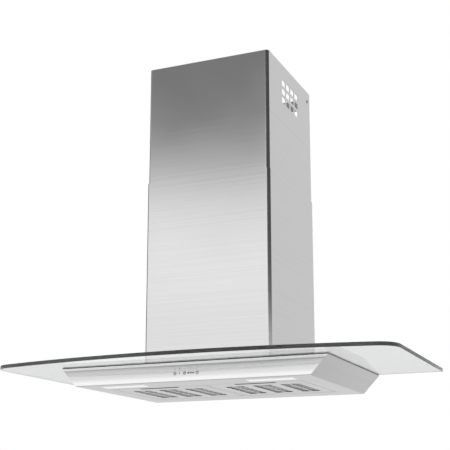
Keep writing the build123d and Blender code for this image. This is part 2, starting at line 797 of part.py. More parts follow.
# ---- chimney ----
def cover_section(width, depth):
    """A rounded channel, open to the wall but for its two inward folds."""
    outer = RectangleRounded(width, 2 * depth, COVER_BEND_RADIUS)
    inner = RectangleRounded(
        width - 2 * COVER_SHEET, 2 * (depth - COVER_SHEET), COVER_BEND_RADIUS - COVER_SHEET
    )
    front_half = Pos(0, -depth) * Rectangle(width + 2 * CUT, 2 * depth)
    folds = Pos(0, -COVER_SHEET / 2) * Rectangle(width - 2 * COVER_SHEET, COVER_SHEET)
    opening = Pos(0, -COVER_SHEET / 2) * Rectangle(
        width - 2 * COVER_SHEET - 2 * COVER_RETURN, COVER_SHEET
    )
    return ((outer - inner) & front_half) + (folds - opening)


def lower_chimney_cover():
    section = cover_section(LOWER_COVER_WIDTH, LOWER_COVER_DEPTH)
    return Pos(0, 0, glass_top) * extrude(section, amount=LOWER_COVER_HEIGHT)


def upper_chimney_cover():
    section = cover_section(upper_width, upper_depth)
    low = chimney_top - UPPER_COVER_HEIGHT
    cover = Pos(0, upper_rear, low) * extrude(section, amount=UPPER_COVER_HEIGHT)
    slot = RectangleRounded(VENT_WIDTH, VENT_HEIGHT, SLOT_CORNER_RADIUS)
    for column in range(VENT_COLUMNS):
        y = upper_front + VENT_SETBACK + (column - (VENT_COLUMNS - 1) / 2) * VENT_PITCH_Y
        for row in range(VENT_ROWS):
            z = chimney_top - VENT_DROP + (row - (VENT_ROWS - 1) / 2) * VENT_PITCH_Z
            cutter = extrude(Plane.YZ * slot, amount=upper_width + 2 * CUT)
            cover -= Pos(-upper_width / 2 - CUT, y, z) * cutter
    for side in (-1, 1):
        reach = (side * upper_width / 2 - COVER_SHEET * 2, side * upper_width / 2 + COVER_SHEET * 2)
        cover -= rod_x(reach, bracket_screw_y(), bracket_z(), BRACKET_SCREW_RADIUS)
    height = BRACKET_HEIGHT / 2 + BRACKET_NOTCH_GAP
    return cover - block(
        (-upper_inner_half, upper_inner_half),
        (upper_rear - COVER_SHEET - COVER_GAP, upper_rear + COVER_GAP),
        (bracket_z() - height, bracket_z() + height),
    )


def bracket_z():
    """Middle height of the bracket inside the upper cover's top end."""
    return chimney_top - BRACKET_DROP


def bracket_screw_y():
    return -BRACKET_EAR / 2


def upper_wall_bracket():
    """A flat bar along the wall with an ear at each end, inside the upper cover."""
    height = (bracket_z() - BRACKET_HEIGHT / 2, bracket_z() + BRACKET_HEIGHT / 2)
    bar = block((-upper_inner_half, upper_inner_half), (-BRACKET_SHEET, 0), height)
    for side in (-1, 1):
        outer = side * upper_inner_half
        inner = side * (upper_inner_half - BRACKET_SHEET)
        span = (min(outer, inner), max(outer, inner))
        bar += block(span, (-BRACKET_EAR, 0), height)
        bar -= rod_x(span, bracket_screw_y(), bracket_z(), BRACKET_SCREW_RADIUS)
        hole_x = side * BRACKET_HOLE_SPACING / 2
        bar -= rod_y(hole_x, (-BRACKET_SHEET - CUT, CUT), bracket_z(), BRACKET_HOLE_RADIUS)
    return bar


def bracket_screws():
    """One pan-head screw a side, through the upper cover into the bracket's ear."""
    head = upper_width / 2
    tail = upper_inner_half - BRACKET_SHEET * 2
    screw = rod_x((tail, head), bracket_screw_y(), bracket_z(), BRACKET_SCREW_RADIUS)
    cap = rod_x((head, head + SCREW_HEAD_HEIGHT), bracket_screw_y(), bracket_z(), SCREW_HEAD_RADIUS)
    screw += fillet(cap.edges().sort_by(Axis.X)[-1], SCREW_HEAD_HEIGHT / 3)
    return Compound(children=[screw, flip(screw)])


def cover_clips():
    """Angle pieces on the casing's deck that hold the foot of the lower cover."""
    low = casing_floor + CASING_SHEET
    y = (casing_front + air_rear) / 2
    depth = (y - COVER_CLIP_DEPTH / 2, y + COVER_CLIP_DEPTH / 2)
    wall = block(
        (lower_inner_half - COVER_CLIP_SHEET, lower_inner_half), depth, (glass_top, low + COVER_CLIP_HEIGHT)
    )
    foot = block(
        (deck_half - COVER_CLIP_LAP, lower_inner_half - COVER_CLIP_SHEET),
        depth,
        (low, low + COVER_CLIP_SHEET),
    )
    clip = wall + foot
    return Compound(children=[clip, flip(clip)])


# ---- blower casing ----
def casing_shell():
    """A box of sheet steel, open below and to the rear, with a flange round its foot."""
    outer = block((-casing_half, casing_half), (casing_front, -HANG_PLATE), (casing_floor, casing_top))
    deck = block(
        (-deck_half, deck_half), (casing_front, -HANG_PLATE), (casing_floor, casing_floor + CASING_SHEET)
    )
    flange = block(
        (-plate_half, plate_half),
        (-HANG_PLATE - CASING_SHEET, -HANG_PLATE),
        (casing_floor, casing_top),
    )
    shell = outer + deck + flange
    inner = casing_half - CASING_SHEET
    shell -= block(
        (-inner, inner), (casing_front + CASING_SHEET, 0), (casing_floor - CUT, casing_inner_top)
    )
    shell -= rod_z(0, collar_y, (casing_inner_top - CUT, casing_top + CUT), COLLAR_RADIUS - COLLAR_WALL)
    deck_depth = (casing_floor - CUT, casing_floor + CASING_SHEET + CUT)
    for x, y in deck_screw_places():
        shell -= rod_z(x, y, deck_depth, DECK_SCREW_RADIUS + BUSH_PLAY)
    return shell


def hanging_plate():
    """The plate that hangs on the two wall screws and carries the casing."""
    plate = block((-plate_half, plate_half), (-HANG_PLATE, 0), (casing_floor, HANG_MARGIN))
    for side in (-1, 1):
        plate -= rod_y(side * HANG_HOLE_SPACING / 2, (-HANG_PLATE - CUT, CUT), 0, HANG_HOLE_RADIUS)
    return plate


def deck_screws():
    """Six screws from the casing's deck down through the glass to the top frame."""
    seat = casing_floor + CASING_SHEET
    screws = []
    for x, y in deck_screw_places():
        shank = rod_z(x, y, (body_top - SHEET - DECK_SCREW_TAIL, seat), DECK_SCREW_RADIUS)
        head = rod_z(x, y, (seat, seat + DECK_HEAD_HEIGHT), DECK_HEAD_RADIUS)
        screws.append(shank + fillet(head.edges().sort_by(Axis.Z)[-1], DECK_HEAD_HEIGHT / 3))
    return Compound(children=screws)


def deck_bushes():
    """Nylon bushes that keep the screws off the glass."""
    bushes = []
    for x, y in deck_screw_places():
        bush = rod_z(x, y, (body_top, glass_top), GLASS_HOLE_RADIUS - BUSH_PLAY)
        bush += rod_z(x, y, (glass_top, casing_floor), DECK_HEAD_RADIUS + BUSH_FLANGE)
        bushes.append(bush - rod_z(x, y, (body_top - CUT, casing_floor + CUT), DECK_SCREW_RADIUS))
    return Compound(children=bushes)


def deck_nuts():
    """Hexagon nuts under the top frame."""
    top = body_top - SHEET
    nuts = []
    for x, y in deck_screw_places():
        nut = Pos(x, y, top - NUT_HEIGHT) * extrude(RegularPolygon(DECK_HEAD_RADIUS, 6), amount=NUT_HEIGHT)
        nuts.append(nut - rod_z(x, y, (top - NUT_HEIGHT - CUT, top + CUT), DECK_SCREW_RADIUS))
    return Compound(children=nuts)


# ---- blower ----
def scroll_outline(offset):
    """The spiral as arcs through points on it, closed by the straight walls of the outlet."""
    first = first_angle(offset)

    def place(share):
        angle = first + (360 - first) * share
        radius = scroll_radius(angle, offset)
        return (scroll_y + radius * cos(radians(angle)), scroll_z + radius * sin(radians(angle)))

    edges = []
    for i in range(SCROLL_STEPS):
        a, b, c = (place((i + part) / SCROLL_STEPS) for part in (0, 0.5, 1))
        edges.append(ThreePointArc(a, b, c))
    start = place(0)
    end = place(1)
    edges.append(Polyline(end, (end[0], casing_inner_top), (start[0], casing_inner_top), start))
    return make_face(edges)


def scroll_right_half():
    """Half of the scroll: its spiral wall, its side with the inlet, and half the top flange."""
    half = extrude(Plane.YZ * scroll_outline(SCROLL_WALL), amount=scroll_half)
    rear = scroll_y + scroll_end + SCROLL_WALL + SCROLL_FLANGE
    front = scroll_y + tongue - SCROLL_WALL - SCROLL_FLANGE
    half += block(
        (0, scroll_half + SCROLL_FLANGE), (front, rear), (casing_inner_top - SCROLL_WALL, casing_inner_top)
    )
    half -= extrude(Plane.YZ * scroll_outline(0), amount=scroll_half - SCROLL_WALL)
    side = (scroll_half - SCROLL_WALL - CUT, scroll_half + CUT)
    return half - rod_x(side, scroll_y, scroll_z, INLET_RADIUS)


def impeller():
    """A drum of forward-curved blades on both sides of a central disc."""
    half = IMPELLER_WIDTH / 2
    wheel = rod_x((-IMPELLER_DISC / 2, IMPELLER_DISC / 2), 0, 0, IMPELLER_RADIUS)
    wheel += rod_x((-IMPELLER_DISC * 2, HUB_LENGTH - IMPELLER_DISC * 2), 0, 0, HUB_RADIUS)
    middle = IMPELLER_RADIUS - BLADE_TIP_GAP - BLADE_DEPTH / 2
    blade = Box(IMPELLER_WIDTH, BLADE_DEPTH, BLADE_THICKNESS)
    blades = [
        Rot(360 * i / BLADE_COUNT, 0, 0) * Pos(0, middle, 0) * Rot(BLADE_LEAN, 0, 0) * blade
        for i in range(BLADE_COUNT)
    ]
    for side in (-1, 1):
        span = sorted((side * half, side * (half - IMPELLER_DISC)))
        ring = rod_x(span, 0, 0, IMPELLER_RADIUS)
        ring -= rod_x(span, 0, 0, IMPELLER_RADIUS - BLADE_DEPTH)
        blades.append(ring)
    wheel = wheel + blades
    wheel -= rod_x((-half, half), 0, 0, SHAFT_RADIUS)
    return Pos(0, scroll_y, scroll_z) * wheel


def motor():
    back = -scroll_half
    can = rod_x((back, back + MOTOR_LENGTH), scroll_y, scroll_z, MOTOR_RADIUS)
    can = fillet(can.edges().sort_by(Axis.X)[-1], MOTOR_ROUND)
    front = back + MOTOR_LENGTH
    can += rod_x((front, front + MOTOR_BELL_LENGTH), scroll_y, scroll_z, MOTOR_BELL_RADIUS)
    return can - rod_x(
        (back - CUT, front + MOTOR_BELL_LENGTH + CUT), scroll_y, scroll_z, SHAFT_RADIUS + SHAFT_PLAY
    )


def motor_shaft():
    tail = HUB_LENGTH - IMPELLER_DISC * 2
    return rod_x((-scroll_half + SPIDER_THICKNESS, tail), scroll_y, scroll_z, SHAFT_RADIUS)


def motor_spider():
    """The three-armed plate that carries the motor across the left inlet."""
    span = (-scroll_half - SPIDER_THICKNESS, -scroll_half)
    spider = rod_x(span, 0, 0, SPIDER_HUB_RADIUS)
    for i in range(SPIDER_ARMS):
        arm = block(span, (0, SPIDER_REACH), (-SPIDER_ARM_WIDTH / 2, SPIDER_ARM_WIDTH / 2))
        spider += Rot(90 + 360 * i / SPIDER_ARMS, 0, 0) * arm
    return Pos(0, scroll_y, scroll_z) * spider


# ---- outlet and damper ----
def duct_collar():
    """The spigot that the duct slides over, with a flange below and a stop for its flaps."""
    inner = COLLAR_RADIUS - COLLAR_WALL
    collar = rod_z(0, collar_y, (casing_top, casing_top + COLLAR_HEIGHT), COLLAR_RADIUS)
    flange_top = casing_top + COLLAR_FLANGE_THICKNESS
    collar += rod_z(0, collar_y, (casing_top, flange_top), COLLAR_RADIUS + COLLAR_FLANGE)
    collar -= rod_z(0, collar_y, (casing_top - CUT, casing_top + COLLAR_HEIGHT + CUT), inner)
    stop_top = flap_z - FLAP_THICKNESS - FLAP_STOP_GAP
    stop_low = stop_top - FLAP_STOP_THICKNESS
    stop = rod_z(0, collar_y, (stop_low, stop_top), inner)
    collar += stop - rod_z(0, collar_y, (stop_low - CUT, stop_top + CUT), inner - FLAP_STOP)
    for side in (-1, 1):
        y = collar_y + side * FLAP_AXIS_OFFSET
        reach = COLLAR_RADIUS + CUT
        collar -= rod_x((-reach, reach), y, flap_z, FLAP_PIN_RADIUS + PEG_PLAY)
    return collar


def rear_damper_flap():
    """Half a disc on a barrel, with a pin at each end in the collar's wall."""
    radius = COLLAR_RADIUS - COLLAR_WALL - FLAP_GAP
    y = collar_y + FLAP_AXIS_OFFSET
    low = flap_z - FLAP_THICKNESS
    disc = rod_z(0, collar_y, (low, flap_z), radius)
    flap = disc & block((-radius, radius), (y, collar_y + radius), (low - CUT, flap_z + CUT))
    half = radius - FLAP_STOP - FLAP_BARREL_RADIUS
    flap += rod_x((-half, half), y, flap_z, FLAP_BARREL_RADIUS)
    reach = COLLAR_RADIUS - COLLAR_WALL + FLAP_PIN_REACH
    flap += rod_x((-reach, reach), y, flap_z, FLAP_PIN_RADIUS)
    return flap


def front_damper_flap():
    across = Plane(origin=(0, collar_y, 0), z_dir=(0, 1, 0))
    return mirror(rear_damper_flap(), about=across)


# ---- electrics on the casing ----
def terminal_box():
    half = TERMINAL_WIDTH / 2
    front = casing_front + TERMINAL_SETBACK - TERMINAL_DEPTH / 2
    rear = front + TERMINAL_DEPTH
    top = casing_top + TERMINAL_HEIGHT
    box = block((TERMINAL_X - half, TERMINAL_X + half), (front, rear), (casing_top, top))
    box -= block(
        (TERMINAL_X - half + TERMINAL_WALL, TERMINAL_X + half - TERMINAL_WALL),
        (front + TERMINAL_WALL, rear - TERMINAL_WALL),
        (casing_top + TERMINAL_WALL, top + CUT),
    )
    outer = TERMINAL_X - half
    wall = (outer - CUT, outer + TERMINAL_WALL + CUT)
    return box - rod_x(wall, (front + rear) / 2, casing_top + TERMINAL_HEIGHT / 2, GLAND_NECK_RADIUS)


def terminal_lid():
    half = TERMINAL_WIDTH / 2
    front = casing_front + TERMINAL_SETBACK - TERMINAL_DEPTH / 2
    top = casing_top + TERMINAL_HEIGHT
    return block(
        (TERMINAL_X - half, TERMINAL_X + half), (front, front + TERMINAL_DEPTH), (top, top + TERMINAL_LID)
    )


def cable_gland():
    """The inlet for the mains lead: a nut outside the box and a neck through its wall."""
    outer = TERMINAL_X - TERMINAL_WIDTH / 2
    y = casing_front + TERMINAL_SETBACK
    z = casing_top + TERMINAL_HEIGHT / 2
    gland = rod_x((outer - GLAND_LENGTH, outer), y, z, GLAND_RADIUS)
    gland = fillet(gland.edges().sort_by(Axis.X)[0], GLAND_ROUND)
    gland += rod_x((outer, outer + TERMINAL_WALL), y, z, GLAND_NECK_RADIUS)
    return gland - rod_x(
        (outer - GLAND_LENGTH - CUT, outer + TERMINAL_WALL + CUT), y, z, GLAND_BORE_RADIUS
    )


def capacitor():
    y = casing_front + CAPACITOR_SETBACK
    can = rod_z(CAPACITOR_X, y, (casing_top, casing_top + CAPACITOR_HEIGHT), CAPACITOR_RADIUS)
    return fillet(can.edges().sort_by(Axis.Z)[-1], CAPACITOR_ROUND)


def build():
    """Every piece by name."""
    pieces = {
        "glass_canopy": glass_canopy(),
        "glass_gasket": glass_gasket(),
        "air_seal_below": air_seal(body_top, glass_under),
        "air_seal_above": air_seal(glass_top, casing_floor),
        "top_frame": top_frame(),
        "front_fascia": front_fascia(),
        "right_side_panel": right_side_panel(),
        "left_side_panel": flip(right_side_panel()),
        "rear_panel": rear_panel(),
        "underside_panel": underside_panel(),
        "filter_clips": filter_clips(),
        "control_box": control_box(),
        "control_board": control_board(),
        "light_button": push_button(LIGHT_BUTTON_X),
        "slower_button": push_button(SLOWER_BUTTON_X),
        "faster_button": push_button(FASTER_BUTTON_X),
        "timer_light": timer_light(),
        "speed_lights": speed_lights(),
        "lower_chimney_cover": lower_chimney_cover(),
        "upper_chimney_cover": upper_chimney_cover(),
        "upper_wall_bracket": upper_wall_bracket(),
        "bracket_screws": bracket_screws(),
        "cover_clips": cover_clips(),
        "casing_shell": casing_shell(),
        "hanging_plate": hanging_plate(),
        "deck_screws": deck_screws(),
        "deck_bushes": deck_bushes(),
        "deck_nuts": deck_nuts(),
        "scroll_right_half": scroll_right_half(),
        "scroll_left_half": flip(scroll_right_half()),
        "impeller": impeller(),
        "motor": motor(),
        "motor_shaft": motor_shaft(),
        "motor_spider": motor_spider(),
        "duct_collar": duct_collar(),
        "rear_damper_flap": rear_damper_flap(),
        "front_damper_flap": front_damper_flap(),
        "terminal_box": terminal_box(),
        "terminal_lid": terminal_lid(),
        "cable_gland": cable_gland(),
        "capacitor": capacitor(),
    }
    for name, side in (("left", -1), ("right", 1)):
        x = side * filter_center_x
        pieces[name + "_filter_tray"] = filter_tray(x)
        pieces[name + "_filter_mesh"] = filter_mesh(x)
        pieces[name + "_filter_back"] = filter_back(x)
        pieces[name + "_filter_grip"] = filter_grip(x)
        pieces[name + "_filter_latch"] = filter_latch(x)
        pieces[name + "_latch_spring"] = latch_spring(x)
        pieces[name + "_lamp_lens"] = lamp_lens(side * LAMP_OFFSET)
        pieces[name + "_lamp_housing"] = lamp_housing(side * LAMP_OFFSET)
        pieces[name + "_lamp_board"] = lamp_board(side * LAMP_OFFSET)
    return pieces


os.makedirs("parts", exist_ok=True)
for piece_name, piece in build().items():
    save(piece_name, piece)
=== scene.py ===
"""Looks of the glass-canopied range hood, in metres, in the frame of its construction model.

X runs to the viewer's right, Y into the wall and Z up, from the middle of the hanging holes.
"""

import json
import math

import bmesh
import bpy
import numpy as np
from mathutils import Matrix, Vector

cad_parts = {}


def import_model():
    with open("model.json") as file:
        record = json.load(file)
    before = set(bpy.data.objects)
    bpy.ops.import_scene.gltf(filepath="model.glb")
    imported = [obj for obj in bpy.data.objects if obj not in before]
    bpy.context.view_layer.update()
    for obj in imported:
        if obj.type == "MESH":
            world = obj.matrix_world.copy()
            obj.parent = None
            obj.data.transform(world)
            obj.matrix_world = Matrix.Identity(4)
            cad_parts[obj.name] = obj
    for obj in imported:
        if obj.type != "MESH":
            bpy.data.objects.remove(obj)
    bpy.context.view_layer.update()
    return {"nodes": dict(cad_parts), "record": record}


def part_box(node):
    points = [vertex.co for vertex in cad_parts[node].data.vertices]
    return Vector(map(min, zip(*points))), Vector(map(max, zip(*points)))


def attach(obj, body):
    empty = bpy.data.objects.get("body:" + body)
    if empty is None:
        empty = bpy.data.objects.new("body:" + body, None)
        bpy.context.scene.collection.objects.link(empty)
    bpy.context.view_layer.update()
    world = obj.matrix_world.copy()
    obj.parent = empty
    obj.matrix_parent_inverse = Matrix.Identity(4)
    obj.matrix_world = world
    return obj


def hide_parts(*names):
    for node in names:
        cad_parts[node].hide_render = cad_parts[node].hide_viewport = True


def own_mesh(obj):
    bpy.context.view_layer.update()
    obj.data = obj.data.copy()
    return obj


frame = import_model()

MM = 0.001
BUTTONS = ("light_button", "slower_button", "faster_button")
SIDES = ("left_", "right_")

# ---- places read from the construction model ----
NODES = frame["nodes"]
glass_low, glass_high = (np.array(corner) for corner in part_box("glass_canopy"))
lower_low, lower_high = (np.array(corner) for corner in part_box("lower_chimney_cover"))
upper_low, upper_high = (np.array(corner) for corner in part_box("upper_chimney_cover"))
fascia_low, fascia_high = (np.array(corner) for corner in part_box("front_fascia"))
bracket_low, bracket_high = (np.array(corner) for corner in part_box("upper_wall_bracket"))
casing_low = np.array(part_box("casing_shell")[0])

# ---- meshes ----
SOFT_ANGLE = 32  # degrees between faces beyond which an edge looks sharp
GLASS_SOFT_ANGLE = 8
FLAT_ANGLE = 1  # degrees within which a copied node's faces are merged before its bevel
BEVEL_ANGLE = 40  # degrees beyond which a bevel breaks an edge
MERGE_NEW = 0.0005 * MM  # points nearer than this are one, in a mesh made here
MERGE_COPIED = 0.002 * MM  # the same in a copied node
CLOSING_SHARE = 0.001  # the small ring that closes a prism, as a share of its outline

# ---- glass ----
GLASS_FRONT_RADIUS = 1900 * MM
GLASS_CORNER_RADIUS = 48 * MM
GLASS_ARRIS = 0.8 * MM
ARRIS_POINTS = 5
EDGE_RISE = 0.7  # a face is part of the ground edge when its normal rises less than this
GLASS_LIFT = 0.03 * MM  # keeps the glass's faces off what they touch
FRONT_POINTS = 161
CORNER_POINTS = 25
SIDE_POINTS = 40
BACK_POINTS = 90
AIR_HALF = 111 * MM
AIR_FRONT = casing_low[1] + 1 * MM
AIR_REAR = -25.5 * MM
AIR_CORNER_RADIUS = 12 * MM
BUSH_RADIUS = 4.6 * MM
BUSH_X = 126.5 * MM
BUSH_ROWS = (-40 * MM, -142 * MM, -244 * MM)

# ---- chimney covers ----
COVER_SHEET = 1 * MM
COVER_RETURN = 12 * MM
FRONT_BEND = 8 * MM
REAR_BEND = 1.5 * MM
COVER_BEND_POINTS = 14
VENT_SIZE = (22 * MM, 14 * MM)  # deep and high
VENT_CORNER = 2 * MM
VENT_PITCH = (29 * MM, 21 * MM)
VENT_COUNT = (4, 3)  # columns from front to rear, and rows
VENT_DROP = 66 * MM  # from the cover's top to the middle of the vents
VENT_SETBACK = 143 * MM  # from the cover's front to the same
SCREW_BORE = 2 * MM  # a radius
NOTCH_GAP = 1 * MM  # above and below the wall bracket
NOTCH_CORNER = 0.2 * MM
NOTCH_DEPTH = 1.5 * MM

# ---- fascia ----
SHEET = 1.2 * MM
LIP_HEIGHT = 6 * MM
LIP_REVEAL = 1.5 * MM  # how far the panel's head stands behind the lip's front
FOOT_REVEAL = 0.5 * MM  # the same at its foot
BOW_HEIGHT = 0.8 * MM  # how far the panel swells forward at its middle
PANEL_POINTS = 25
STEP_BEND = 0.66 * MM
STEP_BEND_POINTS = 6
FOLD_BEND = 0.9 * MM
FOLD_BEND_POINTS = 8
SIDE_INSET = 38 * MM  # how far each side slopes in by the foot
BEND_GUARD = 0.15 * MM  # from a bend's end to the next point on the flat
HOLE_DEPTH = 4 * MM  # reaches through the swelling panel
BUTTON_HOLE = 3.55 * MM  # a radius
TIMER_HOLE = 1.6 * MM  # a radius

# ---- buttons and latches ----
BUTTON_RADIUS = 3.2 * MM
BUTTON_DOME = 1.1 * MM  # the dome's rise
DOME_POINTS = 12
BUTTON_FLANGE = (6.2 * MM, 7.4 * MM)  # its front and back, from the cap's front
STEM_RADIUS = 1.4 * MM
TIP_SHARE = 0.02  # the small ring that closes each end of a button, as a share of the radius there
TURN_POINTS = 48

# ---- marks over the controls ----
MARK_RISE = 9.5 * MM
MARK_STROKE = 0.42 * MM
MARK_FILM = 0.06 * MM  # the ink's face, in front of the panel
MARK_BACK = 0.01 * MM
MARK_SCALE = 1.15 * MM
RING_POINTS = 20

# ---- stage ----
FLOOR_DROP = 3.5
FLOOR_HALF = 16.0
FLOOR_FADE = (6.0, 15.0)  # the floor runs out into the studio's ground tone between these distances
GROUND_TONE = 0.72
SOFT_LEVEL = 0.75
CARD_DISTANCE = 24.0
CARD_REACH = (-35, 50)  # degrees below and above the horizon
CARD_COLUMNS = 49
STRETCH_FOOT = 7.7  # degrees above the horizon
STRETCH_ZONE = (-19.5, -14.0)  # azimuths between which the stretch grows
LAMPS = (  # name, place, size in metres and power in watts
    ("key_lamp", (-2.2, -3.0, 2.2), 1.8, 55),
    ("fill_lamp", (2.8, -2.0, -0.6), 1.6, 18),
)

# ---- camera, in the 450-pixel frame of the photograph ----
FRAME_PIXELS = 450
FOCAL_PIXELS = 1026.3
HORIZON_SHIFT_PIXELS = 45
SENSOR = 36.0
CAMERA_PLACE = (0.9041, -2.2988, -0.542)
CAMERA_YAW = 23.2
CAMERA_PITCH = 12.91
CAMERA_CLIP = (0.05, 60)


# ---- shading helpers ----
ONE_STRIPE = 0.32  # the scale at which a wave texture's stripes are about one unit apart


def linear(code):
    """An sRGB hex colour as linear red, green, blue and a full alpha."""
    parts = [int(code[i : i + 2], 16) / 255 for i in (1, 3, 5)]
    return [p / 12.92 if p <= 0.04045 else ((p + 0.055) / 1.055) ** 2.4 for p in parts] + [1.0]


def add(tree, kind, sockets=None, **settings):
    """Adds a shader node, sets its properties, and fills or links its sockets."""
    node = tree.nodes.new("ShaderNode" + kind)
    for name, value in settings.items():
        setattr(node, name, value)
    for name, value in (sockets or {}).items():
        if isinstance(value, bpy.types.NodeSocket):
            tree.links.new(value, node.inputs[name])
        else:
            node.inputs[name].default_value = value
    return node


def blank(name):
    """A new material with nothing in it but its output."""
    material = bpy.data.materials.new(name)
    material.use_nodes = True
    tree = material.node_tree
    tree.nodes.clear()
    return material, tree, add(tree, "OutputMaterial")


def finish_surface(tree, output, sockets):
    """Wires one Principled surface to the output."""
    shader = add(tree, "BsdfPrincipled", sockets)
    tree.links.new(shader.outputs["BSDF"], output.inputs["Surface"])


def placed(tree, scale):
    """Object coordinates times a number of repeats per metre along each axis."""
    spot = add(tree, "TexCoord").outputs["Object"]
    return add(tree, "Mapping", {"Vector": spot, "Scale": scale}).outputs["Vector"]


def noise(tree, scale, detail=2.0):
    """Soft noise from 0 to 1, with a scale per axis in repeats per metre."""
    sockets = {"Vector": placed(tree, scale), "Scale": 1.0, "Detail": detail}
    return add(tree, "TexNoise", sockets).outputs["Fac"]


def spread(tree, value, low, high, start=0.3, end=0.7):
    """Maps a pattern's middle range to a low and a high value."""
    sockets = {"Value": value, "From Min": start, "From Max": end, "To Min": low, "To Max": high}
    return add(tree, "MapRange", sockets).outputs["Result"]


def tint(tree, value, dark, light):
    """Mixes two hex colours by a pattern."""
    # A colour mix has its two colours at its sockets 6 and 7 and its result at 2.
    sockets = {"Factor": value, 6: linear(dark), 7: linear(light)}
    return add(tree, "Mix", sockets, data_type="RGBA").outputs[2]


def bump(tree, height, depth):
    """A relief whose full height is a depth in metres."""
    sockets = {"Height": height, "Distance": depth, "Strength": 1.0}
    return add(tree, "Bump", sockets).outputs["Normal"]


# ---- materials ----
def brushed_stainless(name, fine_streaks, coarse_streaks):
    """Stainless steel sheet, belt-brushed: soft reflections drawn out across a faint straight grain."""
    material, tree, output = blank(name)
    # The fine grain is 0.25 mm wide. Real scratches are finer still, too fine to show, so a
    # second grain is drawn 2 mm wide.
    fine = noise(tree, fine_streaks, 3.0)
    coarse = noise(tree, coarse_streaks, 1.0)
    cloud = noise(tree, (7, 7, 7), 1.0)
    uneven = add(tree, "Math", {0: fine, 1: cloud}, operation="MULTIPLY").outputs[0]
    turn = add(tree, "Tangent", direction_type="RADIAL", axis="Z").outputs["Tangent"]
    finish_surface(
        tree,
        output,
        {
            "Base Color": tint(tree, spread(tree, coarse, 0.0, 1.0), "#D6D5D6", "#DAD9DA"),
            "Metallic": 1.0,
            "Roughness": spread(tree, uneven, 0.12, 0.16, 0.1, 0.45),
            "Anisotropic": 0.3,
            "Anisotropic Rotation": 0.25,
            "Tangent": turn,
            "Normal": bump(tree, fine, 0.0006 * MM),
        },
    )
    return material


def upright_stainless():
    """The grain runs level round the chimney and the body's front and sides."""
    return brushed_stainless("brushed_stainless_level_grain", (3, 3, 4000), (1.5, 1.5, 500))


def flat_stainless():
    """The grain runs from left to right across the underside."""
    return brushed_stainless("brushed_stainless_cross_grain", (3, 4000, 4000), (1.5, 500, 500))


def galvanised_sheet():
    """Hot-dip galvanised steel: dull grey zinc crystals about 9 mm across."""
    material, tree, output = blank("galvanised_sheet")
    cells = add(tree, "TexVoronoi", {"Vector": placed(tree, (110, 110, 110)), "Scale": 1.0})
    shade = add(tree, "SeparateColor", {"Color": cells.outputs["Color"]}).outputs["Red"]
    finish_surface(
        tree,
        output,
        {
            "Base Color": tint(tree, shade, "#ABAFB1", "#BFC3C5"),
            "Metallic": 1.0,
            "Roughness": spread(tree, shade, 0.38, 0.52, 0.0, 1.0),
            "Normal": bump(tree, noise(tree, (900, 900, 900)), 0.01 * MM),
        },
    )
    return material


def zinc_plate():
    """Bright zinc-plated screws, nuts and springs: a clean, slightly blue shine."""
    material, tree, output = blank("bright_zinc_plate")
    wear = noise(tree, (600, 600, 600))
    finish_surface(
        tree,
        output,
        {
            "Base Color": tint(tree, wear, "#B9BDC2", "#D2D5D8"),
            "Metallic": 1.0,
            "Roughness": spread(tree, wear, 0.2, 0.34),
        },
    )
    return material


def chromed_plastic():
    """Chrome-plated ABS button caps: a mirror with the faint waviness of moulded plastic."""
    material, tree, output = blank("chromed_abs")
    wave = noise(tree, (260, 260, 260), 1.0)
    finish_surface(
        tree,
        output,
        {
            "Base Color": tint(tree, wave, "#C4C6C8", "#D0D1D2"),
            "Metallic": 1.0,
            "Roughness": spread(tree, wave, 0.09, 0.14),
            "Normal": bump(tree, wave, 0.02 * MM),
        },
    )
    return material


def painted_motor_can():
    """Drawn steel can, stove-enamelled dark grey with a light orange peel."""
    material, tree, output = blank("enamelled_motor_can")
    peel = noise(tree, (700, 700, 700))
    finish_surface(
        tree,
        output,
        {
            "Base Color": tint(tree, peel, "#34373A", "#3E4144"),
            "Roughness": spread(tree, peel, 0.36, 0.46),
            "Normal": bump(tree, peel, 0.02 * MM),
        },
    )
    return material


def expanded_aluminium():
    """Slit and stretched aluminium foil: diamond openings 3 mm wide between bright strands, the openings
    a painted shade of darker grey in place of real holes.
    """
    material, tree, output = blank("expanded_aluminium")
    along = placed(tree, (330, 330, 0))
    waves = []
    for direction in (45, -45):
        turned = add(tree, "Mapping", {"Vector": along, "Rotation": (0, 0, math.radians(direction))})
        wave = add(tree, "TexWave", {"Vector": turned.outputs["Vector"], "Scale": ONE_STRIPE})
        waves.append(wave.outputs["Fac"])
    strands = add(tree, "Math", {0: waves[0], 1: waves[1]}, operation="MAXIMUM").outputs[0]
    finish_surface(
        tree,
        output,
        {
            # Painted shade: the openings take a darker grey that stands in for the dark seen through real
            # holes.
            "Base Color": tint(tree, spread(tree, strands, 0.0, 1.0, 0.55, 0.85), "#B4B6B8", "#DEDFE0"),
            "Metallic": 0.6,
            "Roughness": spread(tree, strands, 0.5, 0.32),
            "Normal": bump(tree, strands, 0.3 * MM),
        },
    )
    return material


def float_glass():
    """Clear float glass, 8 mm: polished faces, and ground edges with a satin grey-green glow.

    The texture's U is 0 on the faces and 1 on the edges.
    """
    material, tree, output = blank("clear_float_glass")
    edge = add(tree, "SeparateXYZ", {"Vector": add(tree, "UVMap").outputs["UV"]}).outputs["X"]
    finish_surface(
        tree,
        output,
        {
            "Base Color": linear("#FAFCFB"),
            "Roughness": spread(tree, edge, 0.0, 0.35, 0.0, 1.0),
            "IOR": 1.52,
            "Transmission Weight": 1.0,
        },
    )
    body = add(tree, "VolumeAbsorption", {"Color": linear("#DADEDC"), "Density": 14.0})
    tree.links.new(body.outputs["Volume"], output.inputs["Volume"])
    return material


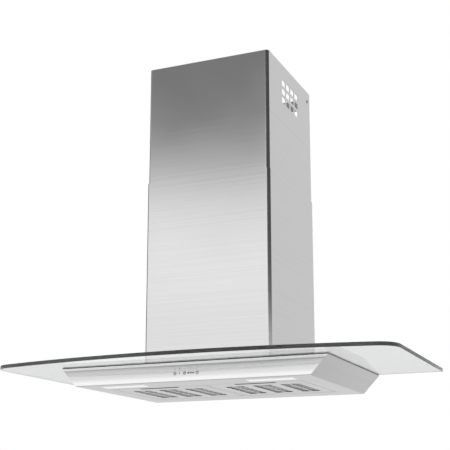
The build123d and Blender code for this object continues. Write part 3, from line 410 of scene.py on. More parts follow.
def closed_foam():
    """Closed-cell foam tape: matt near-black with fine cells about 0.4 mm across."""
    material, tree, output = blank("closed_cell_foam")
    cells = add(tree, "TexVoronoi", {"Vector": placed(tree, (2400, 2400, 2400)), "Scale": 1.0})
    finish_surface(
        tree,
        output,
        {
            "Base Color": tint(tree, cells.outputs["Distance"], "#2B2C2D", "#3C3D3E"),
            "Roughness": 0.9,
            "Normal": bump(tree, cells.outputs["Distance"], 0.12 * MM),
        },
    )
    return material


def moulded(name, dark, light, low, high):
    """An injection-moulded part: satin skin with spark-eroded grain about 0.3 mm across."""
    material, tree, output = blank(name)
    grain = noise(tree, (3300, 3300, 3300), 3.0)
    patch = noise(tree, (14, 14, 14), 1.0)
    finish_surface(
        tree,
        output,
        {
            "Base Color": tint(tree, patch, dark, light),
            "Roughness": spread(tree, patch, low, high),
            "IOR": 1.49,
            "Normal": bump(tree, grain, 0.02 * MM),
        },
    )
    return material


def black_plastic():
    """Black glass-filled nylon, a soft sheen."""
    return moulded("black_moulded_nylon", "#1B1C1E", "#242527", 0.42, 0.52)


def grey_plastic():
    """Grey polypropylene, waxy and even."""
    return moulded("grey_moulded_polypropylene", "#8A8D8F", "#969899", 0.4, 0.5)


def white_plastic():
    """White polycarbonate, smooth."""
    return moulded("white_moulded_polycarbonate", "#DEDEDB", "#E6E6E3", 0.3, 0.4)


def natural_nylon():
    """Undyed nylon, faintly yellow."""
    return moulded("natural_nylon", "#DDD9CC", "#E6E2D6", 0.38, 0.48)


def circuit_board(name, mask, track):
    """Glass-epoxy board under solder mask: tracks 1.6 mm apart show through as a lighter tone."""
    material, tree, output = blank(name)
    along = placed(tree, (620, 90, 620))
    bars = add(tree, "TexWave", {"Vector": along, "Scale": ONE_STRIPE, "Distortion": 3.0})
    lines = spread(tree, bars.outputs["Fac"], 0.0, 1.0, 0.6, 0.75)
    finish_surface(
        tree,
        output,
        {
            "Base Color": tint(tree, lines, mask, track),
            "Roughness": spread(tree, lines, 0.3, 0.38, 0.0, 1.0),
            "Normal": bump(tree, lines, 0.03 * MM),
        },
    )
    return material


def green_board():
    """The control board's green solder mask."""
    return circuit_board("green_circuit_board", "#1B5A35", "#2C7A4A")


def white_board():
    """The lamps' white solder mask."""
    return circuit_board("white_circuit_board", "#D6D6D0", "#E2E2DC")


def opal_lens():
    """Opal acrylic lamp cover: milky white, with fine ribs 1.5 mm apart on its face, and a faint painted
    glow.
    """
    material, tree, output = blank("opal_acrylic_painted_glow")
    ribs = add(tree, "TexWave", {"Vector": placed(tree, (667, 0, 0)), "Scale": ONE_STRIPE}).outputs["Fac"]
    finish_surface(
        tree,
        output,
        {
            "Base Color": tint(tree, ribs, "#F1F1EE", "#F8F8F6"),
            "Roughness": 0.28,
            "IOR": 1.49,
            # Painted glow: a faint emission lifts the shaded lens to bright white, though no lamp lights
            # it.
            "Emission Color": linear("#FFFDF8"),
            "Emission Strength": 0.3,
            "Normal": bump(tree, ribs, 0.06 * MM),
        },
    )
    return material


def tinted_acrylic(name, dark, light, strength):
    """A polished acrylic light pipe, tinted, with a slight depth of tone."""
    material, tree, output = blank(name)
    cloud = noise(tree, (500, 500, 500), 1.0)
    finish_surface(
        tree,
        output,
        {
            "Base Color": tint(tree, cloud, dark, light),
            "Roughness": spread(tree, cloud, 0.1, 0.16),
            "IOR": 1.49,
            "Emission Color": linear(light),
            "Emission Strength": strength,
        },
    )
    return material


def green_indicator():
    """Pale green timer light."""
    return tinted_acrylic("green_acrylic", "#5FA583", "#86C7A6", 0.12)


def smoked_indicator():
    """Smoked speed lights, nearly black when out."""
    return tinted_acrylic("smoked_acrylic", "#2A2C2D", "#37393A", 0.0)


def printed_mark():
    """Pad-printed ink over the controls: a matt dark grey film."""
    material, tree, output = blank("pad_printed_ink")
    dots = noise(tree, (5000, 5000, 5000))
    finish_surface(
        tree,
        output,
        {
            "Base Color": tint(tree, dots, "#262B29", "#343A37"),
            "Roughness": spread(tree, dots, 0.5, 0.65),
        },
    )
    return material


MATERIALS = {
    "brushed_stainless_steel": upright_stainless(),
    "clear_float_glass": float_glass(),
    "galvanised_steel": galvanised_sheet(),
    "zinc_plated_steel": zinc_plate(),
    "polished_metal": chromed_plastic(),
    "motor_steel": painted_motor_can(),
    "expanded_aluminium": expanded_aluminium(),
    "black_foam": closed_foam(),
    "black_plastic": black_plastic(),
    "grey_plastic": grey_plastic(),
    "white_plastic": white_plastic(),
    "white_nylon": natural_nylon(),
    "green_board": green_board(),
    "white_board": white_board(),
    "frosted_lens": opal_lens(),
    "green_indicator": green_indicator(),
    "smoked_indicator": smoked_indicator(),
}
CROSS_GRAIN = flat_stainless()
PRINT = printed_mark()
SLOT_OF = {part["node"]: part["material_slot"] for part in frame["record"]["subparts"]}
BODY_OF = {node: body for body, names in frame["record"]["behaviour"]["bodies"].items() for node in names}


# ---- mesh helpers ----
def make_piece(name, points, faces, material):
    """A mesh object from point and quad arrays, its sharp edges kept by angle."""
    mesh = bpy.data.meshes.new(name)
    points = np.asarray(points, dtype=np.float32).reshape(-1, 3)
    faces = np.asarray(faces, dtype=np.int32).reshape(-1, 4)
    mesh.vertices.add(len(points))
    mesh.vertices.foreach_set("co", points.ravel())
    mesh.loops.add(faces.size)
    mesh.loops.foreach_set("vertex_index", faces.ravel())
    mesh.polygons.add(len(faces))
    mesh.polygons.foreach_set("loop_start", np.arange(len(faces)) * 4)
    mesh.update(calc_edges=True)
    mesh.validate()
    mesh.materials.append(material)
    piece = bpy.data.objects.new(name, mesh)
    bpy.context.scene.collection.objects.link(piece)
    turn_outward(mesh)
    soften(mesh)
    return piece


def turn_outward(mesh):
    """Merges doubles and points every face out of its closed shell."""
    work = bmesh.new()
    work.from_mesh(mesh)
    bmesh.ops.remove_doubles(work, verts=work.verts, dist=MERGE_NEW)
    bmesh.ops.recalc_face_normals(work, faces=work.faces)
    work.to_mesh(mesh)
    work.free()


def soften(mesh, angle=SOFT_ANGLE):
    """Smooth shading that breaks where faces meet at more than an angle."""
    mesh.shade_smooth()
    mesh.set_sharp_from_angle(angle=math.radians(angle))


def grid_faces(rows, columns, wrap_rows=False, wrap_columns=False):
    """Quads between neighbours of a grid of points, joined end to end where it wraps."""
    i = np.arange(rows if wrap_rows else rows - 1)[:, None]
    j = np.arange(columns if wrap_columns else columns - 1)[None, :]
    after_i = (i + 1) % rows
    after_j = (j + 1) % columns
    corners = (i * columns + j, after_i * columns + j, after_i * columns + after_j, i * columns + after_j)
    return np.stack(np.broadcast_arrays(*corners), axis=-1).reshape(-1, 4)


def rounded_path(corners, radii, steps):
    """A path through corner points in a plane, with an arc of its own radius at each inner corner.

    A point just before and after each arc keeps the soft shading of the bend off the flats.
    """
    corners = np.array(corners, float)
    stretches = [corners[:1]]
    for before, here, after, radius in zip(corners[:-2], corners[1:-1], corners[2:], radii):
        into = (here - before) / np.linalg.norm(here - before)
        away = (after - here) / np.linalg.norm(after - here)
        turn = math.acos(np.clip(into @ away, -1, 1))
        reach = radius * math.tan(turn / 2)
        side = np.sign(into[0] * away[1] - into[1] * away[0])
        normal = side * np.array([-into[1], into[0]])
        swing = np.linspace(0, turn, steps)[:, None]
        start = here - into * reach
        stretches.append([start - into * BEND_GUARD])
        stretches.append(start + into * radius * np.sin(swing) + normal * radius * (1 - np.cos(swing)))
        stretches.append([here + away * (reach + BEND_GUARD)])
    stretches.append(corners[-1:])
    return np.concatenate(stretches)


def side_normals(path):
    """Unit vectors to the left of a path in a plane, each square to the stretch round its point."""
    along = np.gradient(path, axis=0)
    along /= np.linalg.norm(along, axis=1, keepdims=True)
    return np.stack((-along[:, 1], along[:, 0]), axis=1)


def bent_sheet(name, path, thickness, low, high, place, material):
    """A folded sheet: its middle line in a plane, thickened to both sides and drawn from low to high.

    place(a, b, c) turns the two coordinates in the plane and the one along the drawing into X, Y and Z.
    """
    normals = side_normals(path)
    ring = np.concatenate((path + normals * thickness / 2, (path - normals * thickness / 2)[::-1]))
    count = len(path)
    low = np.broadcast_to(low, count)
    high = np.broadcast_to(high, count)
    ends = (np.concatenate((low, low[::-1])), np.concatenate((high, high[::-1])))
    points = np.stack([place(ring[:, 0], ring[:, 1], end) for end in ends])
    sides = grid_faces(2, 2 * count, wrap_columns=True)
    i = np.arange(count - 1)
    cap = np.stack((i, i + 1, 2 * count - 2 - i, 2 * count - 1 - i), axis=1)
    return make_piece(name, points, np.concatenate((sides, cap, cap + 2 * count)), material)


def cut_with(piece, cutters):
    """Takes closed cutter meshes out of a piece and applies the cut."""
    for cutter in cutters:
        change = piece.modifiers.new("cut", "BOOLEAN")
        change.operation = "DIFFERENCE"
        change.solver = "EXACT"
        change.object = cutter
        bpy.context.view_layer.update()
        cut = bpy.data.meshes.new_from_object(piece.evaluated_get(bpy.context.evaluated_depsgraph_get()))
        piece.modifiers.clear()
        piece.data = cut
    for cutter in cutters:
        bpy.data.objects.remove(cutter)
    soften(piece.data)


def prisms(name, outline, places, low, high, place):
    """One mesh of equal prisms: an outline moved to each place and drawn from low to high."""
    count = len(outline)
    centre = outline.mean(axis=0)
    rings = []
    faces = []
    for step, spot in enumerate(places):
        start = step * 4 * count
        for height, share in ((low, CLOSING_SHARE), (low, 1.0), (high, 1.0), (high, CLOSING_SHARE)):
            ring = centre + (outline - centre) * share + np.array(spot)
            rings.append(place(ring[:, 0], ring[:, 1], np.full(count, height)))
        faces.append(grid_faces(4, count, wrap_columns=True) + start)
        faces.append(start + fan_caps(count))
    return make_piece(name, np.concatenate(rings), np.concatenate(faces), None)


def fan_caps(count):
    """Quads that close the small first and last rings of a four-ring prism."""
    half = count // 2
    i = np.arange(half - 1)
    ring = np.stack((i, i + 1, count - 2 - i, count - 1 - i), axis=1)
    return np.concatenate((ring, ring + 3 * count))


def rounded_rectangle(width, height, radius, steps=6):
    """Closed outline of a rectangle with round corners, centred on zero."""
    angle = np.linspace(0, np.pi / 2, steps)
    arcs = []
    for turn, (sx, sy) in enumerate(((1, 1), (-1, 1), (-1, -1), (1, -1))):
        middle = np.array([sx * (width / 2 - radius), sy * (height / 2 - radius)])
        swing = angle + turn * np.pi / 2
        arcs.append(middle + radius * np.stack((np.cos(swing), np.sin(swing)), axis=1))
    return np.concatenate(arcs)


def circle(radius, count=32):
    """Closed outline of a circle centred on zero."""
    swing = np.linspace(0, 2 * np.pi, count, endpoint=False)
    return radius * np.stack((np.cos(swing), np.sin(swing)), axis=1)


def drawn_along_z(a, b, c):
    """Points from a section's X and Y and a height."""
    return np.stack((a, b, c), axis=-1)


def drawn_along_x(a, b, c):
    """Points from a section's Y and Z and a place along X."""
    return np.stack((c, a, b), axis=-1)


def drawn_along_y(a, b, c):
    """Points from a section's X and Z and a place along Y."""
    return np.stack((a, c, b), axis=-1)


def stand_in(piece, node, body):
    """Shows a piece in place of a construction node, on the same body."""
    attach(piece, body)
    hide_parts(node)


# ---- glass canopy ----
def glass_outline():
    """The canopy's edge: straight back and sides, a bowed front and round front corners.

    The front is a circle of 1.9 m radius, and each corner is a small circle that touches
    both the side and the front: its centre lies a corner radius inside each.
    """
    half = glass_high[0]
    front_centre = glass_low[1] + GLASS_FRONT_RADIUS
    corner_x = half - GLASS_CORNER_RADIUS
    rise = math.sqrt((GLASS_FRONT_RADIUS - GLASS_CORNER_RADIUS) ** 2 - corner_x**2)
    corner_y = front_centre - rise
    lean = math.atan2(corner_x, rise)
    bow = np.linspace(-lean, lean, FRONT_POINTS)[1:-1]
    front = np.stack(
        (GLASS_FRONT_RADIUS * np.sin(bow), front_centre - GLASS_FRONT_RADIUS * np.cos(bow)), axis=1
    )
    swing = np.linspace(lean, np.pi / 2, CORNER_POINTS)
    corner = np.stack(
        (
            corner_x + GLASS_CORNER_RADIUS * np.sin(swing),
            corner_y - GLASS_CORNER_RADIUS * np.cos(swing),
        ),
        axis=1,
    )
    side = np.linspace(corner_y, 0, SIDE_POINTS)[1:]
    right = np.stack((np.full(len(side), half), side), axis=1)
    back_x = np.linspace(half, -half, BACK_POINTS)[1:-1]
    back = np.stack((back_x, np.zeros(len(back_x))), axis=1)
    mirror = np.array([-1, 1])
    return np.concatenate((front, corner, right, back, right[::-1] * mirror, corner[::-1] * mirror))


def air_outline(outer):
    """The air opening's edge, with one point on the ray from its middle to each outer point.

    Along a unit ray (c, s) a rounded rectangle's edge lies on a side, or on its corner circle.
    """
    middle = np.array([0, (AIR_FRONT + AIR_REAR) / 2])
    half = np.array([AIR_HALF, (AIR_REAR - AIR_FRONT) / 2])
    ray = outer - middle
    ray /= np.linalg.norm(ray, axis=1, keepdims=True)
    reach = np.min(half / np.maximum(np.abs(ray), 1e-9), axis=1)
    corner = half - AIR_CORNER_RADIUS
    along = np.abs(ray) @ corner
    square = along**2 - corner @ corner + AIR_CORNER_RADIUS**2
    bend = along + np.sqrt(np.maximum(square, 0))
    spot = np.abs(ray) * reach[:, None]
    round_part = np.all(spot > corner, axis=1)
    return middle + ray * np.where(round_part, bend, reach)[:, None]


def glass_canopy():
    """The glass as a ring of sections: rounded arris, top face, air opening and bottom face."""
    outer = glass_outline()
    along = np.roll(outer, -1, axis=0) - np.roll(outer, 1, axis=0)
    along /= np.linalg.norm(along, axis=1, keepdims=True)
    inward = np.stack((-along[:, 1], along[:, 0]), axis=1)
    inner = air_outline(outer)
    low = glass_low[2] + GLASS_LIFT
    high = glass_high[2] - GLASS_LIFT
    swing = np.linspace(0, np.pi / 2, ARRIS_POINTS)
    inset = GLASS_ARRIS * (1 - np.sin(swing))
    lift = GLASS_ARRIS * (1 - np.cos(swing))
    sections = [(outer + inward * d, low + h) for d, h in zip(inset, lift)]
    sections += [(outer + inward * d, high - h) for d, h in zip(inset[::-1], lift[::-1])]
    sections += [(inner, high), (inner, low)]
    points = np.stack([drawn_along_z(p[:, 0], p[:, 1], np.full(len(p), z)) for p, z in sections])
    faces = grid_faces(len(sections), len(outer), wrap_rows=True, wrap_columns=True)
    glass = make_piece("canopy_glass", points, faces, MATERIALS["clear_float_glass"])
    places = [(side * BUSH_X, y) for side in (-1, 1) for y in BUSH_ROWS]
    bores = prisms("bush_bores", circle(BUSH_RADIUS), places, low - MM, high + MM, drawn_along_z)
    cut_with(glass, [bores])
    soften(glass.data, GLASS_SOFT_ANGLE)
    ground = glass.data.uv_layers.new(name="ground")
    for face in glass.data.polygons:
        for loop in face.loop_indices:
            ground.uv[loop].vector = (float(abs(face.normal.z) < EDGE_RISE), 0.5)
    stand_in(glass, "glass_canopy", "root")


# ---- chimney covers ----
def cover_path(low, high):
    """Middle line of a cover's section: two rear folds, two sides and the front."""
    half = high[0] - COVER_SHEET / 2
    front = low[1] + COVER_SHEET / 2
    rear = high[1] - COVER_SHEET / 2
    fold = half - COVER_RETURN - COVER_SHEET / 2
    corners = [(-fold, rear), (-half, rear), (-half, front), (half, front), (half, rear), (fold, rear)]
    radii = [REAR_BEND, FRONT_BEND - COVER_SHEET / 2, FRONT_BEND - COVER_SHEET / 2, REAR_BEND]
    return rounded_path(corners, radii, COVER_BEND_POINTS)


def drawn_cover(name, low, high, foot):
    """A cover's section drawn upwards from its foot."""
    steel = MATERIALS["brushed_stainless_steel"]
    return bent_sheet(name, cover_path(low, high), COVER_SHEET, foot, high[2], drawn_along_z, steel)


def lower_cover():
    """The fixed cover, which stands on the glass."""
    cover = drawn_cover("lower_cover", lower_low, lower_high, lower_low[2] + GLASS_LIFT)
    stand_in(cover, "lower_chimney_cover", "root")


def upper_cover():
    """The sliding cover, with its vents, its screw holes and the notch for the wall bracket."""
    cover = drawn_cover("upper_cover", upper_low, upper_high, upper_low[2])
    middle_y = upper_low[1] + VENT_SETBACK
    middle_z = upper_high[2] - VENT_DROP
    places = [
        (
            middle_y + (column - (VENT_COUNT[0] - 1) / 2) * VENT_PITCH[0],
            middle_z + (row - (VENT_COUNT[1] - 1) / 2) * VENT_PITCH[1],
        )
        for column in range(VENT_COUNT[0])
        for row in range(VENT_COUNT[1])
    ]
    reach = upper_high[0] + MM
    slot = rounded_rectangle(*VENT_SIZE, VENT_CORNER)
    vents = prisms("vents", slot, places, -reach, reach, drawn_along_x)
    screw = np.array(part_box("bracket_screws")).mean(axis=0)
    bores = prisms("bores", circle(SCREW_BORE), [(screw[1], screw[2])], -reach, reach, drawn_along_x)
    notch_height = bracket_high[2] - bracket_low[2] + 2 * NOTCH_GAP
    notch_outline = rounded_rectangle(2 * bracket_high[0], notch_height, NOTCH_CORNER)
    notch_place = [(0, (bracket_high[2] + bracket_low[2]) / 2)]
    depth = (upper_high[1] - NOTCH_DEPTH, upper_high[1] + MM)
    notch = prisms("notch", notch_outline, notch_place, *depth, drawn_along_y)
    cut_with(cover, [vents, bores, notch])
    stand_in(cover, "upper_chimney_cover", "upper_chimney")


# ---- fascia ----
def panel_front(z):
    """How far forward the fascia's swelling panel stands at a height.

    The panel is a straight line from its head to its foot, plus a parabola that swells forward.
    """
    top = fascia_high[2] - LIP_HEIGHT
    share = (top - z) / (top - fascia_low[2])
    straight = LIP_REVEAL + (FOOT_REVEAL - LIP_REVEAL) * share
    return fascia_low[1] + straight - 4 * BOW_HEIGHT * share * (1 - share)


def fascia_path():
    """Middle line of the fascia's section: lip, step, swelling panel and fold."""
    front = fascia_low[1] + SHEET / 2
    step = fascia_high[2] - LIP_HEIGHT + SHEET / 2
    bottom = fascia_low[2] + SHEET / 2
    heights = np.linspace(step, bottom, PANEL_POINTS)
    panel = np.stack((panel_front(heights) + SHEET / 2, heights), axis=1)
    head = [(front, fascia_high[2]), (front, step), panel[0], panel[1]]
    foot = [panel[-2], panel[-1], (fascia_high[1], bottom)]
    lip = rounded_path(head, [STEP_BEND, STEP_BEND], STEP_BEND_POINTS)
    fold = rounded_path(foot, [FOLD_BEND], FOLD_BEND_POINTS)
    return np.concatenate((lip, panel[2:-2], fold))


def front_fascia():
    """The fascia, drawn from side to side with ends that slope as the body's sides do."""
    path = fascia_path()
    rise = fascia_high[2] - fascia_low[2]
    half = fascia_high[0] - SIDE_INSET * (fascia_high[2] - path[:, 1]) / rise
    fascia = bent_sheet(
        "fascia_panel", path, SHEET, -half, half, drawn_along_x, MATERIALS["brushed_stainless_steel"]
    )
    holes = []
    radii = {**dict.fromkeys(BUTTONS, BUTTON_HOLE), "timer_light": TIMER_HOLE}
    depth = (fascia_low[1] - MM, fascia_low[1] + HOLE_DEPTH)
    for node, radius in radii.items():
        low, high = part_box(node)
        spot = [((low.x + high.x) / 2, (low.z + high.z) / 2)]
        holes.append(prisms(node + "_hole", circle(radius), spot, *depth, drawn_along_y))
    cut_with(fascia, holes)
    stand_in(fascia, "front_fascia", "root")


# ---- buttons ----
def button_cap(node):
    """A round cap turned about its own line: a shallow dome, a straight side, a flange and a stem.

    The dome is the part of a sphere whose edge has the cap's radius and whose rise is given.
    The flange is the widest part, so it has the node's own width.
    """
    low, high = (np.array(corner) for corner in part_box(node))
    middle = (low + high) / 2
    flange = (high[0] - low[0]) / 2
    length = high[1] - low[1]
    front, back = BUTTON_FLANGE
    sphere = (BUTTON_RADIUS**2 + BUTTON_DOME**2) / (2 * BUTTON_DOME)
    lean = np.linspace(TIP_SHARE, math.asin(BUTTON_RADIUS / sphere), DOME_POINTS)
    dome = np.stack((sphere * np.sin(lean), sphere * (1 - np.cos(lean))), axis=1)
    collar = [(BUTTON_RADIUS, front), (flange, front), (flange, back), (STEM_RADIUS, back)]
    stem = [(STEM_RADIUS, length), (TIP_SHARE * STEM_RADIUS, length)]
    profile = np.concatenate((dome, collar, stem))
    turn = np.linspace(0, 2 * np.pi, TURN_POINTS, endpoint=False)[:, None]
    x = middle[0] + profile[:, 0] * np.cos(turn)
    z = middle[2] + profile[:, 0] * np.sin(turn)
    y = np.broadcast_to(low[1] + profile[:, 1], x.shape)
    count = len(profile)
    faces = grid_faces(TURN_POINTS, count, wrap_rows=True)
    here = np.arange(TURN_POINTS // 2 - 1)
    across = TURN_POINTS - 1 - here
    tip = np.stack((here, here + 1, across - 1, across), axis=1) * count
    caps = (tip, tip + count - 1)
    points = np.stack((x, y, z), axis=-1)
    cap = make_piece(node + "_cap", points, np.concatenate((faces, *caps)), MATERIALS["polished_metal"])
    stand_in(cap, node, BODY_OF[node])


# ---- smoothed copies of construction nodes ----
def dressed(node, body, bevel=0.0, material=None):
    """A merged copy of a node with soft shading and, where asked, lightly broken edges."""
    mesh = NODES[node].data.copy()
    work = bmesh.new()
    work.from_mesh(mesh)
    bmesh.ops.remove_doubles(work, verts=work.verts, dist=MERGE_COPIED)
    if bevel:
        limit = math.radians(FLAT_ANGLE)
        bmesh.ops.dissolve_limit(work, angle_limit=limit, verts=work.verts, edges=work.edges)
    work.to_mesh(mesh)
    work.free()
    mesh.materials.clear()
    mesh.materials.append(material or MATERIALS[SLOT_OF[node]])
    soften(mesh)
    piece = bpy.data.objects.new(node + "_finished", mesh)
    bpy.context.scene.collection.objects.link(piece)
    if bevel:
        edge = piece.modifiers.new("edges", "BEVEL")
        edge.width = bevel
        edge.segments = 2
        edge.limit_method = "ANGLE"
        edge.angle_limit = math.radians(BEVEL_ANGLE)
    even = piece.modifiers.new("even_flats", "WEIGHTED_NORMAL")
    even.keep_sharp = True
    stand_in(piece, node, body)
    return piece


def latch_spring(side):
    """A latch spring on a mesh of its own. The real spring shortens towards the tray as its latch slides
    back; nothing here moves it.
    """
    node = side + "latch_spring"
    spring = dressed(node, BODY_OF[node])
    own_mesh(spring)


# ---- marks over the controls ----
def ring_stroke(radius):
    """A closed round stroke."""
    ring = circle(radius, RING_POINTS)
    return np.concatenate((ring, ring[:1]))


MARKS = {
    "lamp": [
        ring_stroke(0.75),
        [(0, -1.2), (0, -1.7)],
        [(0.85, -0.85), (1.2, -1.2)],
        [(-0.85, -0.85), (-1.2, -1.2)],
    ],
    "clock": [ring_stroke(1.2), [(0, 0.7), (0, 0), (0.55, 0)]],
    "minus": [[(-1.0, 0), (1.0, 0)]],
    "one": [[(-0.45, 0.75), (0, 1.2), (0, -1.2)]],
    "two": [
        [(-0.6, 0.75), (-0.3, 1.2), (0.3, 1.2), (0.6, 0.75), (0.6, 0.3), (-0.6, -1.2), (0.65, -1.2)],
    ],
    "three": [
        [(-0.6, 1.2), (0.6, 1.2), (0, 0.25), (0.45, 0.1)]
        + [(0.6, -0.5), (0.3, -1.2), (-0.3, -1.2), (-0.6, -0.8)],
    ],
    "plus": [[(-1.0, 0), (1.0, 0)], [(0, -1.0), (0, 1.0)]],
}


def printed_stroke(name, line, middle):
    """A flat ribbon of ink: each point of the line moved to both sides by half the stroke."""
    line = np.array(line, float) * MARK_SCALE + np.array(middle)
    normals = side_normals(line) * MARK_STROKE / 2
    corners = [line + normals, line - normals]
    front = [panel_front(c[:, 1]) - MARK_FILM for c in corners]
    back = [panel_front(c[:, 1]) - MARK_BACK for c in corners]
    rings = (
        drawn_along_y(corners[0][:, 0], corners[0][:, 1], front[0]),
        drawn_along_y(corners[1][:, 0], corners[1][:, 1], front[1]),
        drawn_along_y(corners[1][:, 0], corners[1][:, 1], back[1]),
        drawn_along_y(corners[0][:, 0], corners[0][:, 1], back[0]),
    )
    count = len(line)
    faces = grid_faces(4, count, wrap_rows=True)
    first = np.arange(4) * count
    ends = np.stack((first, first + count - 1))
    return make_piece(name, np.stack(rings), np.concatenate((faces, ends)), PRINT)


def control_marks():
    """A small generic mark over each button and light."""
    places = []
    for node, mark in (
        ("light_button", "lamp"),
        ("timer_light", "clock"),
        ("slower_button", "minus"),
        ("faster_button", "plus"),
    ):
        low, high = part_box(node)
        places.append(((low.x + high.x) / 2, (low.z + high.z) / 2, mark))
    low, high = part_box("speed_lights")
    # Each figure stands over the middle of its light, at a share of the row's width.
    for share, mark in ((0.11, "one"), (0.5, "two"), (0.89, "three")):
        places.append((low.x + (high.x - low.x) * share, (low.z + high.z) / 2, mark))
    for x, z, mark in places:
        for step, line in enumerate(MARKS[mark]):
            stroke = printed_stroke(f"mark_{mark}_{step}", line, (x, z + MARK_RISE))
            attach(stroke, "root")


# ---- everything on its body ----
MADE_ANEW = {"glass_canopy", "lower_chimney_cover", "upper_chimney_cover", "front_fascia", *BUTTONS}
SPRINGS = {side + "latch_spring" for side in SIDES}
BEVELS = {
    "right_side_panel": 0.35 * MM,
    "left_side_panel": 0.35 * MM,
    "rear_panel": 0.35 * MM,
    "hanging_plate": 0.3 * MM,
    "terminal_box": 0.6 * MM,
    "terminal_lid": 0.6 * MM,
    "control_box": 0.4 * MM,
}
for side in SIDES:
    BEVELS[side + "lamp_lens"] = 0.4 * MM
    BEVELS[side + "lamp_housing"] = 0.5 * MM
    BEVELS[side + "filter_grip"] = 0.3 * MM
    BEVELS[side + "filter_latch"] = 0.6 * MM
LEVEL_SHEETS = {"underside_panel"}
LEVEL_SHEETS |= {side + sheet for side in SIDES for sheet in ("filter_tray", "filter_grip")}

glass_canopy()
lower_cover()
upper_cover()
front_fascia()
for node in BUTTONS:
    button_cap(node)
for side in SIDES:
    latch_spring(side)
for node in NODES:
    if node not in MADE_ANEW | SPRINGS:
        material = CROSS_GRAIN if node in LEVEL_SHEETS else None
        dressed(node, BODY_OF[node], BEVELS.get(node, 0.0), material)
control_marks()


# ---- stage ----
def card_height(angle):
    """How high a card is where it is seen at an elevation in degrees."""
    return CARD_DISTANCE * np.tan(np.radians(angle))


def card_glow(name, stops):
    """A glow whose brightness is given by elevation in degrees, along a texture from 0 to 1 by height."""
    low, high = (card_height(angle) for angle in CARD_REACH)
    material, tree, output = blank(name)
    height = add(tree, "SeparateXYZ", {"Vector": add(tree, "UVMap").outputs["UV"]}).outputs["Y"]
    ramp = add(tree, "ValToRGB", {"Fac": height})
    elements = ramp.color_ramp.elements
    top = max(bright for _, bright in stops)
    for step, (angle, bright) in enumerate(stops):
        spot = (card_height(angle) - low) / (high - low)
        element = elements[step] if step < 2 else elements.new(spot)
        element.position = spot
        element.color = (bright / top, bright / top, bright / top, 1.0)
    glow = add(tree, "Emission", {"Color": ramp.outputs["Color"], "Strength": top})
    tree.links.new(glow.outputs["Emission"], output.inputs["Surface"])
    return material


def glowing_card(name, start, end, stops, stretch=1.0):
    """A tall curved card that only reflections see.

    It runs round the hood from a start to an end azimuth, which turn from straight in front
    towards the viewer's right. The stops above STRETCH_FOOT can be stretched upwards, by a
    factor that grows between the two azimuths of STRETCH_ZONE.
    """
    turn = np.linspace(start, end, CARD_COLUMNS)
    ring = CARD_DISTANCE * np.stack((np.sin(np.radians(turn)), -np.cos(np.radians(turn))), axis=1)
    low, level, high = (card_height(angle) for angle in (CARD_REACH[0], STRETCH_FOOT, CARD_REACH[1]))
    factor = np.interp(turn, STRETCH_ZONE, (1.0, stretch))
    rows = (low, level, high)
    points = [drawn_along_z(ring[:, 0], ring[:, 1], np.full(CARD_COLUMNS, z)) for z in rows]
    faces = grid_faces(len(rows), CARD_COLUMNS)
    card = make_piece(name, np.stack(points), faces, card_glow(name, stops))
    # The height whose brightness each point shows. The points are numbered row by row.
    shown_rows = (low, level, level + (high - level) / factor)
    shown = np.concatenate([np.broadcast_to(row, CARD_COLUMNS) for row in shown_rows])
    layer = card.data.uv_layers.new(name="height")
    for loop in card.data.loops:
        layer.uv[loop.index].vector = (0.5, (shown[loop.vertex_index] - low) / (high - low))
    card.visible_camera = False
    card.visible_diffuse = False
    card.visible_shadow = False


def cards():
    """Softly shaded cards that the steel and the glass reflect, far beyond any camera's place.

    The front one is dark overhead, fades to bright across the chimney, and glows at eye level.
    """
    low_glow = ((-35, 0.5), (-14, 0.6), (-10, 1.1), (-3, 1.1), (-1, 1.4), (4, 1.4), (7.7, 0.97))
    overhead = ((12, 1.16), (14, 1.16), (16, 1.1), (17.4, 0.97), (18.6, 0.66), (19.8, 0.38), (21, 0.23))
    glowing_card("front_card", -58.0, -8.0, low_glow + overhead, 1.45)
    glowing_card("corner_card", -8.0, 9.0, ((-35, 0.5), (-14, 0.6), (-10, 1.1), (8.9, 1.4), (9.9, 0.08)))
    glowing_card("right_flag", 10.0, 122.0, ((-35, 0.5), (8.9, 0.7), (9.9, 0.08)))
    glowing_card("rear_card", 126.0, 190.0, ((-35, 0.54), (-12, 0.58), (2, 0.75)))
    glowing_card("left_flag", -104.0, -66.0, ((-35, 0.12), (50, 0.12)))


def seen_directly(tree):
    """One for the rays of a camera, a mirror and glass, and nought for soft light."""
    path = add(tree, "LightPath").outputs
    seen = add(tree, "Math", {0: path["Is Camera Ray"], 1: path["Is Glossy Ray"]}, operation="MAXIMUM")
    both = {0: seen.outputs[0], 1: path["Is Transmission Ray"]}
    return add(tree, "Math", both, operation="MAXIMUM").outputs[0]


def floor():
    """A plain pale floor well below the hood, running out softly into the studio's ground tone."""
    material, tree, output = blank("matt_white_floor")
    grain = noise(tree, (40, 40, 40))
    colour = tint(tree, grain, "#DCDCDB", "#DFDFDE")
    near = add(tree, "BsdfPrincipled", {"Base Color": colour, "Roughness": 0.9})
    far = add(tree, "Emission", {"Color": linear("#FFFFFF"), "Strength": GROUND_TONE})
    flat = add(tree, "Mapping", {"Vector": add(tree, "TexCoord").outputs["Object"], "Scale": (1, 1, 0)})
    away = add(tree, "VectorMath", {0: flat.outputs["Vector"]}, operation="LENGTH").outputs["Value"]
    share = {"Value": away, "From Min": FLOOR_FADE[0], "From Max": FLOOR_FADE[1]}
    fade = add(tree, "MapRange", share, interpolation_type="SMOOTHSTEP").outputs["Result"]
    mix = add(tree, "MixShader", {0: fade, 1: near.outputs["BSDF"], 2: far.outputs["Emission"]})
    tree.links.new(mix.outputs["Shader"], output.inputs["Surface"])
    z = -FLOOR_DROP
    half = FLOOR_HALF
    points = [(-half, -half, z), (half, -half, z), (half, half, z), (-half, half, z)]
    make_piece("floor", points, [(0, 1, 2, 3)], material)


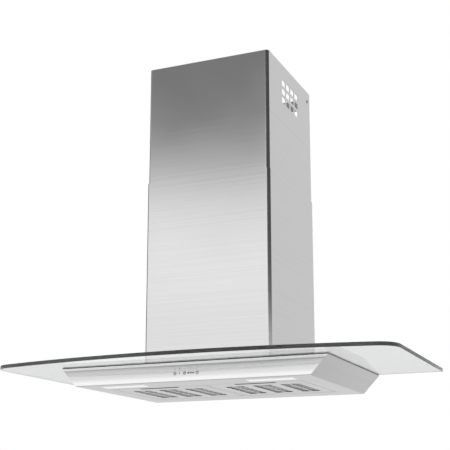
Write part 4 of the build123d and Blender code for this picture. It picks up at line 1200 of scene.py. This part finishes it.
def area_lamp(name, place, size, power):
    """A square soft lamp that points at the hood."""
    light = bpy.data.lights.new(name, "AREA")
    light.size = size
    light.energy = power
    lamp = bpy.data.objects.new(name, light)
    lamp.location = place
    lamp.rotation_euler = Vector(place).to_track_quat("Z", "Y").to_euler()
    lamp.visible_glossy = False
    lamp.visible_transmission = False
    bpy.context.scene.collection.objects.link(lamp)


def world():
    """White above the horizon and pale below it where a camera, a mirror or glass looks.

    Soft light comes at one plain level from all round.
    """
    sky = bpy.data.worlds.new("white_studio")
    bpy.context.scene.world = sky
    sky.use_nodes = True
    tree = sky.node_tree
    tree.nodes.clear()
    rise = add(tree, "SeparateXYZ", {"Vector": add(tree, "TexCoord").outputs["Generated"]}).outputs["Z"]
    ground = spread(tree, rise, GROUND_TONE, 1.0, -0.04, 0.03)
    level = add(tree, "Mix", {"Factor": seen_directly(tree), "A": SOFT_LEVEL, "B": ground})
    back = add(tree, "Background", {"Color": linear("#FFFFFF"), "Strength": level.outputs["Result"]})
    out = add(tree, "OutputWorld")
    tree.links.new(back.outputs["Background"], out.inputs["Surface"])


def camera():
    """The photograph's viewpoint: low, to the right, tilted up."""
    data = bpy.data.cameras.new("camera")
    data.sensor_width = SENSOR
    data.lens = FOCAL_PIXELS * SENSOR / FRAME_PIXELS
    data.shift_y = HORIZON_SHIFT_PIXELS / FRAME_PIXELS
    data.clip_start, data.clip_end = CAMERA_CLIP
    yaw = math.radians(CAMERA_YAW)
    pitch = math.radians(CAMERA_PITCH)
    look = Vector((-math.sin(yaw) * math.cos(pitch), math.cos(yaw) * math.cos(pitch), math.sin(pitch)))
    eye = bpy.data.objects.new("camera", data)
    eye.location = CAMERA_PLACE
    eye.rotation_euler = look.to_track_quat("-Z", "Y").to_euler()
    bpy.context.scene.collection.objects.link(eye)
    bpy.context.scene.camera = eye


camera()
world()
floor()
cards()
for lamp in LAMPS:
    area_lamp(*lamp)
bpy.context.scene.view_settings.view_transform = "Standard"

bpy.context.view_layer.update()
